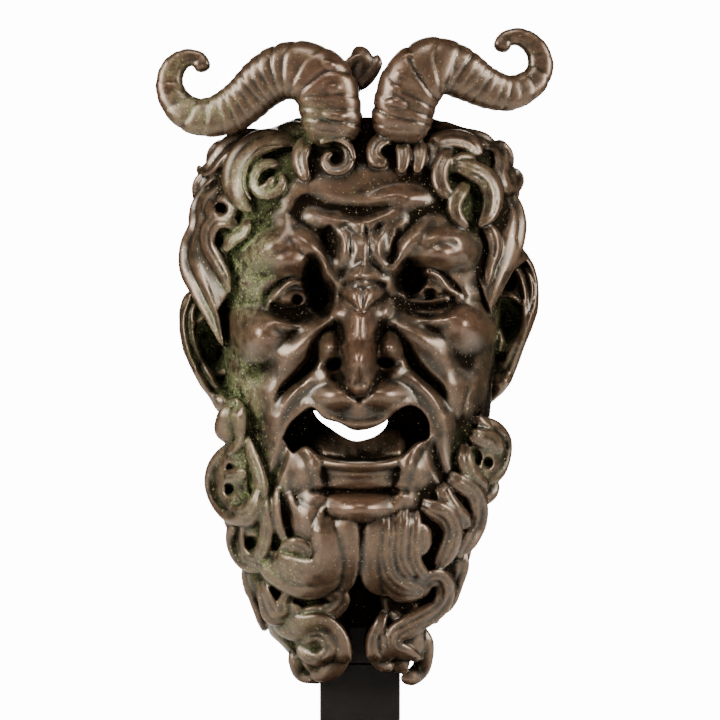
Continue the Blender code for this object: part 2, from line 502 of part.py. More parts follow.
# %% Horns: (gx, gz, depth, radius), rings every few rows
HORN_RING_STEP = 15.0
LEFT_HORN = [(-27, 540, 96, 29), (-28, 575, 98, 30), (-40, 606, 100, 31), (-60, 618, 98, 30), (-80, 616, 94, 28),
             (-97, 606, 90, 26), (-112, 592, 86, 24), (-128, 580, 82, 23), (-150, 573, 78, 20), (-170, 576, 74, 18),
             (-184, 588, 70, 16), (-191, 606, 68, 14), (-186, 624, 68, 12), (-172, 633, 70, 9), (-160, 630, 72, 8),
             (-158, 618, 74, 10)]
RIGHT_HORN = [(42, 542, 96, 29), (43, 578, 98, 29), (58, 610, 100, 31), (74, 622, 98, 30), (89, 621, 94, 27),
              (104, 614, 90, 25), (118, 606, 86, 22), (132, 600, 82, 20), (148, 597, 78, 18), (164, 602, 74, 16),
              (177, 613, 70, 14), (181, 628, 68, 13), (174, 645, 68, 11), (158, 654, 70, 9), (144, 650, 72, 8),
              (142, 638, 74, 10)]

# %% Ears: shells with a rolled rim, an inner fold, a cross ridge and a lobe
# The side lines are (gz, gx). Marks are strokes and pads are swellings on the shell.
EAR_COLUMNS, EAR_ROWS = 34, 64
EAR_BACK = 14
EAR_BASE_DEPTH = 40
EAR_LEAST = 7.0              # thinnest the shell gets, in grid units
LEFT_EAR_OUTER = [(270, -134), (280, -146), (292, -152), (303, -161), (320, -170), (340, -179), (360, -183), (380, -183),
                  (394, -179), (404, -168), (410, -158)]
LEFT_EAR_INNER = [(270, -118), (290, -114), (320, -118), (360, -126), (400, -136), (410, -140)]
LEFT_EAR_MARKS = [
    [(-158, 404, 6, 6), (-170, 396, 7, 9), (-177, 378, 7, 10), (-177, 356, 7, 10), (-172, 334, 7, 10), (-160, 310, 7, 9),
     (-150, 294, 8, 7)],
    [(-174, 392, 3, -4), (-182, 368, 3, -6), (-178, 345, 3, -6), (-168, 322, 3, -4)],
    [(-162, 392, 5, 3), (-168, 380, 5, 7), (-168, 360, 5, 8), (-162, 338, 5, 8), (-153, 320, 6, 8), (-144, 303, 6, 4)],
    [(-168, 364, 5, 5), (-158, 371, 5, 6), (-146, 378, 5, 3)],
]
LEFT_EAR_PADS = [(-150, 345, 22, 34, -30), (-158, 388, 9, 10, -14), (-140, 311, 8, 6, -12), (-137, 288, 17, 17, 14),
                 (-160, 345, 26, 70, 8)]
RIGHT_EAR_OUTER = [(288, 134), (296, 144), (308, 153), (328, 161), (343, 166), (362, 174), (379, 180), (395, 181),
                   (412, 180), (426, 176), (439, 168), (450, 158)]
RIGHT_EAR_INNER = [(288, 112), (310, 116), (350, 124), (400, 130), (450, 138)]
RIGHT_EAR_MARKS = [
    [(155, 444, 6, 6), (166, 434, 7, 9), (174, 414, 7, 10), (175, 392, 7, 10), (168, 362, 7, 10), (158, 336, 7, 9),
     (148, 310, 8, 7)],
    [(157, 439, 3, -4), (170, 422, 3, -6), (176, 402, 3, -6), (172, 380, 3, -4)],
    [(152, 430, 5, 3), (162, 412, 5, 7), (166, 394, 5, 8), (164, 372, 5, 8), (157, 352, 5, 8), (149, 334, 6, 8),
     (144, 322, 6, 4)],
    [(138, 394, 5, 5), (150, 395, 5, 8), (162, 388, 5, 5)],
    [(134, 384, 6, 4), (141, 368, 8, 12), (142, 350, 7, 10), (140, 338, 6, 4)],
]
RIGHT_EAR_PADS = [(150, 370, 16, 26, -30), (150, 410, 9, 12, -16), (141, 333, 8, 6, -12), (141, 306, 16, 17, 14),
                  (158, 380, 26, 70, 8)]
EARS = [(LEFT_EAR_OUTER, LEFT_EAR_INNER, LEFT_EAR_MARKS, LEFT_EAR_PADS),
        (RIGHT_EAR_INNER, RIGHT_EAR_OUTER, RIGHT_EAR_MARKS, RIGHT_EAR_PADS)]


def ear_rule(marks, pads):
    """The depth of one ear, from its marks and pads."""
    def depth_of(gx, gz):
        lift = sum(swell(gx, gz, pad) for pad in pads)
        for points in marks:
            lift = lift + stroke_lift(gx, gz, points)
        return np.maximum(EAR_BASE_DEPTH + lift, EAR_BACK + EAR_LEAST)
    return depth_of


# %% The mouth
MOUTH_UPPER = [(-77, 252), (-70, 266), (-60, 275), (-47, 282), (-34, 272), (-20, 267), (-6, 261), (8, 262),
               (24, 269), (38, 280), (50, 284), (63, 277), (70, 262)]
MOUTH_LOWER = [(68, 252), (56, 247), (44, 236), (28, 231), (0, 229), (-26, 231), (-42, 236), (-54, 244), (-66, 238)]
HEAD_FLOOR = 4               # the head is never shallower than this at its sides
MOUTH_DEPTH = 44             # how far back the mouth goes from the lips
SLOT = [(-47, 278), (-30, 279), (0, 280), (26, 279), (26, 260), (14, 250), (-4, 246), (-22, 252), (-40, 262)]
SLOT_BACK = 10
SLOT_OVERLAP = 16            # the slot starts this far in front of the pocket's floor
MOUTH_BLOCK = (0, 258, 118, 44)          # the thick bronze around the mouth: centre, half width, half height
MOUTH_BLOCK_DEPTH = 52
TROUGH = [(2, 226, 46, 36, 44), (-30, 250, 8, 16, 8), (32, 254, 8, 16, 8)]      # where the water ran over the lip
mouth_outline = closed_path(MOUTH_UPPER + MOUTH_LOWER, 5 * len(MOUTH_UPPER + MOUTH_LOWER))
mouth_floor = float(head_depth(MOUTH_BLOCK[0], MOUTH_BLOCK[1])) - MOUTH_DEPTH


def head_surface(gx, gz):
    """The carved face, with the mouth's pocket sunk into it."""
    depth = head_depth(gx, gz)
    floor = mouth_floor + sum(swell(gx, gz, form) for form in TROUGH)
    depth += inside_share(gx, gz, mouth_outline) * (floor - depth)
    return np.maximum(depth, HEAD_FLOOR)


def prism(outline, back, front):
    """A closed block whose front view is the outline: a disc moved onto it and drawn back."""
    path = smooth_path([(gx, gz) for gx, gz in outline] + [outline[0]], 6 * len(outline) + 1)[:-1]
    bm = bmesh.new()
    bmesh.ops.create_circle(bm, cap_ends=True, segments=len(path), radius=1.0)
    set_points(bm, in_metres(path[:, 0], path[:, 1], np.full(len(path), float(front))))
    drawn = bmesh.ops.extrude_face_region(bm, geom=bm.faces[:])
    moved = [item for item in drawn["geom"] if isinstance(item, bmesh.types.BMVert)]
    bmesh.ops.translate(bm, verts=moved, vec=(0.0, (front - back) * UNIT, 0.0))
    bmesh.ops.recalc_face_normals(bm, faces=bm.faces)
    return bm


def keep_largest_body(bm):
    """Drops the specks that the one-skin step leaves sealed inside the casting."""
    unseen, bodies = set(bm.verts), []
    while unseen:
        body, edge = set(), [unseen.pop()]
        while edge:
            vertex = edge.pop()
            body.add(vertex)
            for neighbour in (link.other_vert(vertex) for link in vertex.link_edges):
                if neighbour in unseen:
                    unseen.remove(neighbour)
                    edge.append(neighbour)
        bodies.append(body)
    largest = max(bodies, key=len)
    bmesh.ops.delete(bm, geom=[vertex for body in bodies if body is not largest for vertex in body], context="VERTS")


def cut_with(target, bm, name):
    """A Boolean difference with a hidden cutter."""
    cutter = finish_object(name, bm, bronze)
    cutter.hide_render = True
    cutter.display_type = "WIRE"
    modifier = target.modifiers.new(name, "BOOLEAN")
    modifier.operation = "DIFFERENCE"
    modifier.solver = "EXACT"
    modifier.object = cutter


def applied(obj):
    """The object's mesh with its modifiers worked in."""
    bpy.context.view_layer.update()
    depsgraph = bpy.context.evaluated_depsgraph_get()
    return bpy.data.meshes.new_from_object(obj.evaluated_get(depsgraph), depsgraph=depsgraph)


def mouth_blend(gx, gz):
    """One over the block around the mouth, falling smoothly to nothing outside it."""
    centre_x, centre_z, wide, high = MOUTH_BLOCK
    reach = np.maximum(np.abs(gx - centre_x) / wide, np.abs(gz - centre_z) / high)
    return np.clip((1.0 - reach) / 0.3, 0.0, 1.0)


HOLLOW_COLUMNS, HOLLOW_ROWS = 44, 70
HOLLOW_MARGIN = 14           # rows of solid bronze above and below the hollow
HOLLOW_BACK = -20


def hollow_mesh():
    """The core of the casting: the face's own form, drawn in by the wall, and open behind the rim."""
    wall = WALL / UNIT
    bm = bmesh.new()
    bmesh.ops.create_grid(bm, x_segments=HOLLOW_COLUMNS, y_segments=HOLLOW_ROWS, size=1.0)
    co = np.array([vertex.co for vertex in bm.verts])
    low, high = HEAD_BOTTOM + HOLLOW_MARGIN, HEAD_TOP - HOLLOW_MARGIN
    gz = low + (high - low) * (co[:, 1] + 1.0) / 2.0
    edge_round = np.clip((1.0 - np.abs(co[:, 1])) * 7.0, 0.0, 1.0) ** 0.5
    gx = co[:, 0] * (half_width(gz) - 1.5 * wall) * (0.35 + 0.65 * edge_round)
    nearest = np.full(len(gx), 1e9)
    for step_x in (-1.0, 0.0, 1.0):
        for step_z in (-1.0, 0.0, 1.0):
            nearest = np.minimum(nearest, head_depth(gx + step_x * wall, gz + step_z * wall))
    depth = nearest - 1.1 * wall - MOUTH_BLOCK_DEPTH * mouth_blend(gx, gz)
    depth = np.maximum(depth * (0.15 + 0.85 * edge_round), 0.0)
    set_points(bm, in_metres(gx, gz, depth))
    drawn = bmesh.ops.extrude_face_region(bm, geom=bm.faces[:])
    moved = [item for item in drawn["geom"] if isinstance(item, bmesh.types.BMVert)]
    for vertex in moved:
        vertex.co.y = RIM_Y - HOLLOW_BACK * UNIT
    bmesh.ops.recalc_face_normals(bm, faces=bm.faces)
    return bm


def box_mesh(low, high, bevel=0.0):
    """A closed box between two corners."""
    bm = bmesh.new()
    bmesh.ops.create_cube(bm, size=1.0)
    for vertex in bm.verts:
        vertex.co = [low[k] if vertex.co[k] < 0.0 else high[k] for k in range(3)]
    if bevel:
        bmesh.ops.bevel(bm, geom=bm.edges[:], offset=bevel, offset_type="OFFSET", segments=1, profile=0.5,
                        affect="EDGES", material=-1)
    return bm


# %% The mask
casting = bmesh.new()
HEAD_LEFT = [(gz, -float(half_width(gz))) for gz in range(HEAD_BOTTOM, HEAD_TOP + 1, 2)]
HEAD_RIGHT = [(gz, -gx) for gz, gx in HEAD_LEFT]
add_slab(casting, HEAD_LEFT, HEAD_RIGHT, HEAD_COLUMNS, HEAD_ROWS, head_surface, 0)
add_slab(casting, MANE_LEFT, MANE_RIGHT, MANE_COLUMNS, MANE_ROWS, mane_depth, MANE_BACK)
for lock in HAIR:
    add_lock(casting, on_hair(lock, HAIR_PLUMPNESS), flat=LOCK_FLATNESS)
for lock in BEARD:
    add_lock(casting, on_hair(lock, BEARD_PLUMPNESS), flat=LOCK_FLATNESS)
for wave in rim_locks():
    add_lock(casting, wave)
for outer, inner, marks, pads in EARS:
    add_slab(casting, outer, inner, EAR_COLUMNS, EAR_ROWS, ear_rule(marks, pads), EAR_BACK)
for horn in (LEFT_HORN, RIGHT_HORN):
    add_lock(casting, horn, rings=0.05, ring_step=HORN_RING_STEP, around=20, along=110)

forms = finish_object("joined forms", casting, bronze)
skin = forms.modifiers.new("one skin", "REMESH")
skin.mode = "VOXEL"
skin.voxel_size = VOXEL
skin.adaptivity = 0.0
one_skin = bmesh.new()
one_skin.from_mesh(applied(forms))
bpy.data.objects.remove(forms, do_unlink=True)
keep_largest_body(one_skin)
mask = finish_object("mask", one_skin, bronze)
cut_with(mask, hollow_mesh(), "hollow")
cut_with(mask, prism(SLOT, SLOT_BACK, mouth_floor + SLOT_OVERLAP), "water slot")
thin = mask.modifiers.new("fewer triangles", "DECIMATE")
thin.ratio = MASK_TRIANGLES / sum(len(face.vertices) - 2 for face in applied(mask).polygons)

# %% The cradle: a bar behind the beard, a foot under the beard's root, and an arm into the hollow
post_top = GRID_ZERO_Z + POST_TOP_ROW * UNIT
cradle_bottom = post_top + GAP
seat_z = GRID_ZERO_Z + SEAT_ROW * UNIT
bar_top = GRID_ZERO_Z + BAR_TOP_ROW * UNIT
bar_front = RIM_Y - BAR_FRONT_DEPTH * UNIT
bar_back = RIM_Y + GAP + CRADLE_THICKNESS
CRADLE_BOXES = [
    ((-CRADLE_WIDTH / 2, RIM_Y + GAP, cradle_bottom), (CRADLE_WIDTH / 2, bar_back, bar_top)),
    ((-CRADLE_WIDTH / 2, RIM_Y - CRADLE_THICKNESS, cradle_bottom), (CRADLE_WIDTH / 2, bar_back, seat_z)),
    ((-ARM_WIDTH / 2, bar_front, bar_top - ARM_THICKNESS), (ARM_WIDTH / 2, bar_back, bar_top)),
    ((-BAR_WIDTH / 2, bar_front, bar_top - ARM_THICKNESS), (BAR_WIDTH / 2, bar_front + BAR_DEPTH, bar_top)),
]


def grown(box, margin):
    low, high = box
    return [value - margin for value in low], [value + margin for value in high]


# The bronze is let in where the cradle touches it, so the two meet face to face.
cut_with(mask, box_mesh(*grown(CRADLE_BOXES[1], GAP)), "seat under the beard")
cut_with(mask, box_mesh(*grown(CRADLE_BOXES[3], GAP)), "seat under the mouth")

cradle = finish_object("cradle", box_mesh(*CRADLE_BOXES[0]), cradle_paint)
for number, box in enumerate(CRADLE_BOXES[1:]):
    limb = finish_object(f"cradle limb {number}", box_mesh(*box), cradle_paint)
    limb.hide_render = True
    limb.display_type = "WIRE"
    weld = cradle.modifiers.new(f"limb {number}", "BOOLEAN")
    weld.operation = "UNION"
    weld.solver = "EXACT"
    weld.object = limb

# %% The post and its foot
half_post, half_foot = POST_SIDE / 2, FOOT_WIDTH / 2
finish_object("stand_post", box_mesh((-half_post, POST_CENTRE_Y - half_post, FOOT_THICKNESS + GAP),
                                     (half_post, POST_CENTRE_Y + half_post, post_top), POST_EDGE), black_paint)
finish_object("stand_foot", box_mesh((-half_foot, -FOOT_DEPTH / 2, 0.0),
                                     (half_foot, FOOT_DEPTH / 2, FOOT_THICKNESS), FOOT_EDGE), black_paint)
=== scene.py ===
# %% [markdown]
# # The looks of a satyr fountain mask
# The real object is a bronze casting of a horned satyr's face, hollow and open at the back.
# Water ran out of its mouth.
# It was modelled in wax: strips, coils and pads of wax pressed onto a domed face, and then cast in one pour.
# This lesson models it in the same order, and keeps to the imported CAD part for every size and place.

# %% Load the frame
import math

import bmesh
import bpy
import numpy as np
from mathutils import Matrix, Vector


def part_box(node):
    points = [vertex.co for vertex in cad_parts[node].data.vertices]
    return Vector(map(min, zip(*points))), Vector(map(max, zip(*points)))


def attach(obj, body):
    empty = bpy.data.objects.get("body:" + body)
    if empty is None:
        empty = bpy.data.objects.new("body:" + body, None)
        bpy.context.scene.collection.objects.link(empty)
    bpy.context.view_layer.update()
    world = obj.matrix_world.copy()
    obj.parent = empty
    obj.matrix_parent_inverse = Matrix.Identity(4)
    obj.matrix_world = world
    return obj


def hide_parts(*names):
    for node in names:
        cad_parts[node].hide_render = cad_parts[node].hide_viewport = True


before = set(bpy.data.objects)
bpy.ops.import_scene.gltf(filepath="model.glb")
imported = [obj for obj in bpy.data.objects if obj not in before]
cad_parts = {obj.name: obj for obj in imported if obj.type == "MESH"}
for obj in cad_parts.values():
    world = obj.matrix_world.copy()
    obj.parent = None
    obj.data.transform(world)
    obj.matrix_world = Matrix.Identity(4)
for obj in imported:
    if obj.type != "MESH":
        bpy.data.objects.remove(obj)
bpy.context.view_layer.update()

# %% [markdown]
# ## The sculptor's squaring grid
# A sculptor who copies a model square by square lays a grid over it. Here gx runs to the viewer's right,
# gz runs up from the tip of the beard, and depth comes forward from the back rim.
# One grid unit is the mask's height over its number of rows, so all carving is a share of that height.
# The rows are hung from the top of the post, which the CAD part gives exactly.

# %% Grid
MASK_HEIGHT = 0.431                      # metres, beard tip to horn top
GRID_ROWS = 663
UNIT = MASK_HEIGHT / GRID_ROWS
POST_TOP_ROW = 22
RIM_Y = 0.032                            # the plane of the back rim
WALL = 0.006                             # bronze between the face and the hollow
CONTACT_GAP = 0.0003                     # air where the mask rests on its cradle
post_low, post_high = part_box("stand_post")
GRID_ZERO_Z = post_high.z - POST_TOP_ROW * UNIT


def in_metres(gx, gz, depth):
    """Grid places as an array of points in metres."""
    return np.stack([gx * UNIT, RIM_Y - depth * UNIT, GRID_ZERO_Z + gz * UNIT], axis=1)


print(f"one grid unit is {UNIT * 1000:.3f} mm, row 0 is at {GRID_ZERO_Z:.4f} m")

# %% [markdown]
# ## The camera
# The photograph was taken level with the bridge of the nose, through a long lens, so it shows hardly any
# perspective. The camera is set first, because everything else is judged through it.

# %% Camera
PHOTO_SIDE = 720                         # pixels, and one grid unit is one pixel
PHOTO_CENTRE_ROW = 330
FOCUS_DEPTH = 80                         # grid depth at which one unit is one pixel
CAMERA_DISTANCE = 3.0
SENSOR = 36.0                            # millimetres
aim = Vector((0.0, RIM_Y - FOCUS_DEPTH * UNIT, GRID_ZERO_Z + PHOTO_CENTRE_ROW * UNIT))


def linked(name, data):
    """A new object in the scene that holds the camera, lamp or mesh."""
    obj = bpy.data.objects.new(name, data)
    bpy.context.scene.collection.objects.link(obj)
    return obj


camera_data = bpy.data.cameras.new("camera")
camera_data.sensor_width = SENSOR
camera_data.lens = SENSOR * CAMERA_DISTANCE / (PHOTO_SIDE * UNIT)
camera = linked("camera", camera_data)
camera.location = aim + Vector((0.0, -CAMERA_DISTANCE, 0.0))
camera.rotation_euler = (math.radians(90.0), 0.0, 0.0)
bpy.context.scene.camera = camera
print(f"lens {camera_data.lens:.0f} mm")

# %% [markdown]
# ## The dome that everything is modelled on
# The bare head is a dome. Its half width and its depth change from row to row, and a few knots say how.
# Between the knots a blurred straight line gives a smooth curve, which is easier to control than a spline.
# The section across the dome is a superellipse: an exponent of 2 gives an ellipse, and more gives squarer cheeks.

# %% Profiles of the head
def knot_curve(knots, blur=12):
    """A smooth function of gz through (gz, value) knots."""
    rows = np.arange(-60, 720)
    values = np.interp(rows, [row for row, _ in knots], [value for _, value in knots])
    kernel = np.ones(blur) / blur
    for _ in range(2):
        padded = np.pad(values, blur, mode="edge")
        values = np.convolve(padded, kernel, mode="same")[blur:-blur]
    return lambda gz: np.interp(gz, rows, values)


HEAD_BOTTOM, HEAD_TOP = 58, 566
half_width = knot_curve([(58, 26), (75, 48), (100, 80), (140, 104), (180, 121), (215, 131), (250, 130),
                         (290, 134), (340, 141), (380, 145), (420, 150), (460, 154), (500, 150),
                         (530, 130), (550, 100), (560, 70), (566, 50)])
fore_depth = knot_curve([(0, 45), (30, 58), (58, 62), (100, 88), (140, 110), (180, 122), (220, 126),
                         (300, 130), (380, 128), (460, 126), (500, 117), (540, 100), (570, 82), (600, 58)])
hair_width = knot_curve([(0, 62), (30, 84), (60, 104), (100, 126), (140, 142), (180, 152), (220, 160),
                         (300, 168), (340, 182), (400, 192), (460, 190), (500, 182), (540, 162),
                         (570, 124), (600, 90)])
FACE_FULLNESS = 2.5
HAIR_FULLNESS = 2.2
EDGE_FADE = 40.0                         # carving fades out where the dome is shallower than this


def dome(gx, width, depth, fullness):
    """Depth of a rounded section at gx."""
    share = np.clip(np.abs(gx) / width, 0.0, 1.0)
    return depth * (1.0 - share ** fullness) ** (1.0 / fullness)


def hair_depth(gx, gz):
    """The wider dome that the hair and beard lie on."""
    return dome(gx, hair_width(gz), fore_depth(gz), HAIR_FULLNESS)


print("head is", round(2 * float(half_width(400)) * UNIT * 1000), "mm wide at the eyes")

# %% [markdown]
# ## Pads and strokes
# A modeller builds a face from pads of wax, and then draws into it with a tool. So there are two kinds of mark.
# A pad is an oval swelling or hollow. A stroke is a ridge or a groove along a path, and it can change its
# width and height on the way. A soft stroke has a round section, and a sharp one has the V of a tool's edge.

# %% Pad and stroke
def smooth_path(points, count):
    """Points spread evenly along a smooth path through the given ones, all columns together."""
    knots = np.array(points, dtype=float)
    steps = np.sqrt(((knots[1:, :2] - knots[:-1, :2]) ** 2).sum(axis=1))
    along = np.concatenate([[0.0], np.cumsum(np.maximum(steps, 1e-6))])
    slopes = np.gradient(knots, along, axis=0)
    at = np.linspace(0.0, along[-1], count)
    index = np.clip(np.searchsorted(along, at, side="right") - 1, 0, len(knots) - 2)
    span = (along[index + 1] - along[index])[:, None]
    t = (at - along[index])[:, None] / span
    start, end = knots[index], knots[index + 1]
    start_slope, end_slope = slopes[index] * span, slopes[index + 1] * span
    return ((2 * t ** 3 - 3 * t ** 2 + 1) * start + (t ** 3 - 2 * t ** 2 + t) * start_slope
            + (-2 * t ** 3 + 3 * t ** 2) * end + (t ** 3 - t ** 2) * end_slope)


def pad_lift(gx, gz, pad):
    centre_x, centre_z, wide, high, lift = pad
    reach = ((gx - centre_x) / wide) ** 2 + ((gz - centre_z) / high) ** 2
    return lift * np.clip(1.0 - reach, 0.0, 1.0) ** 2


def beside_path(gx, gz, path):
    """For the places near a path of (gx, gz, half width, lift): which they are, how far across it each lies as a
    share of the half width there, with a sign for the side, and the half width and lift there."""
    margin = path[:, 2].max() + 1.0
    near = np.flatnonzero((gx > path[:, 0].min() - margin) & (gx < path[:, 0].max() + margin)
                          & (gz > path[:, 1].min() - margin) & (gz < path[:, 1].max() + margin))
    x, z = gx[near], gz[near]
    best, wide, lift = np.full(len(near), 1.0), np.ones(len(near)), np.zeros(len(near))
    for start, end in zip(path[:-1], path[1:]):
        run = end[:2] - start[:2]
        t = np.clip(((x - start[0]) * run[0] + (z - start[1]) * run[1]) / (run @ run + 1e-9), 0.0, 1.0)
        off_x, off_z = x - start[0] - t * run[0], z - start[1] - t * run[1]
        reach = start[2] + t * (end[2] - start[2])
        side = np.where(run[0] * off_z - run[1] * off_x < 0.0, -1.0, 1.0)
        share = side * np.hypot(off_x, off_z) / reach
        closer = np.abs(share) < np.abs(best)
        best, wide = np.where(closer, share, best), np.where(closer, reach, wide)
        lift = np.where(closer, start[3] + t * (end[3] - start[3]), lift)
    return near, best, wide, lift


def stroke_lift(gx, gz, points, sharp=False):
    """Lift of a tapering ridge or groove."""
    near, share, _, height = beside_path(gx, gz, smooth_path(points, max(4, 5 * len(points))))
    away, lift = np.abs(share), np.zeros_like(gx)
    lift[near] = height * ((1.0 - away) ** 1.5 if sharp else (1.0 - away ** 2) ** 2)
    return lift


def all_lifts(gx, gz, pads=(), soft=(), sharp=()):
    """Everything that a list of pads and two lists of strokes add up to."""
    total = sum(pad_lift(gx, gz, pad) for pad in pads)
    total = total + sum(stroke_lift(gx, gz, points) for points in soft)
    return total + sum(stroke_lift(gx, gz, points, sharp=True) for points in sharp)


# %% [markdown]
# ## The face
# The lists below are the face itself, from the forehead down. Each pad is (gx, gz, half width, half height, lift).
# Each stroke is a run of (gx, gz, half width, lift). All are in grid units, and a lift below zero cuts in.
# A satyr is a mythical creature and this one is a grotesque, so its face follows the photograph.

# %% Pads of the face
PADS = [
    (0, 492, 100, 40, 6), (0, 524, 86, 30, 10), (36, 490, 30, 12, 4), (-80, 500, 34, 26, 3),      # forehead
    (-80, 438, 50, 28, 20), (82, 442, 52, 28, 20),                          # brows
    (-72, 424, 28, 15, 9), (84, 432, 30, 15, 9),                            # the fold that hangs over each eye
    (0, 436, 36, 34, 14),                                                   # knot between the brows
    (-30, 450, 16, 20, -4),                                                 # hollow in the left knot
    (-60, 388, 46, 30, -26), (64, 394, 46, 30, -24),                        # eye sockets
    (-46, 414, 14, 26, -28), (-37, 393, 15, 24, -30), (50, 412, 20, 22, -26),  # inner corners
    (-68, 391, 28, 17, 19), (69, 398, 29, 17, 18),                          # eyeballs
    (-72, 368, 30, 12, 5), (74, 374, 30, 12, 5),                            # bags under the eyes
    (4, 409, 26, 9, 8),                                                     # roll across the root of the nose
    (-9, 394, 13, 13, 7), (15, 394, 13, 13, 7),                             # the two pads of the root
    (-20, 378, 11, 14, 5), (23, 377, 11, 14, 5),
    (-29, 342, 18, 19, 32), (29, 342, 18, 19, 32),                          # wings of the nose
    (-1, 328, 23, 24, 17),                                                  # tip of the nose
    (-100, 354, 38, 34, 21), (104, 363, 40, 32, 24), (106, 366, 26, 24, 8), (-104, 357, 26, 24, 6),  # cheeks
    (-94, 318, 30, 22, -5), (96, 322, 28, 18, -4),
    (0, 296, 62, 26, 19), (-28, 292, 24, 18, 8), (28, 294, 28, 19, 9), (0, 274, 20, 14, 6),     # upper lip
    (0, 226, 58, 14, 17), (0, 213, 44, 12, 5),                              # lower lip
    (0, 181, 48, 26, 25), (0, 186, 36, 15, 4),                              # chin
    (-54, 222, 20, 26, 8), (54, 222, 20, 26, 8), (-48, 188, 18, 20, 7), (46, 192, 16, 22, 6),   # folds by the chin
    (-96, 250, 20, 50, -6), (96, 256, 20, 50, -5),                          # hollows of the cheeks
    (-25, 326, 9, 8, -30), (25, 328, 10, 7, -30),                           # nostrils
]
print(len(PADS), "pads")

# %% [markdown]
# The strokes follow the muscles of a grimace: furrows where the brow is drawn together, folds from the nose
# to the corners of the mouth, lids, bags and crow's feet.

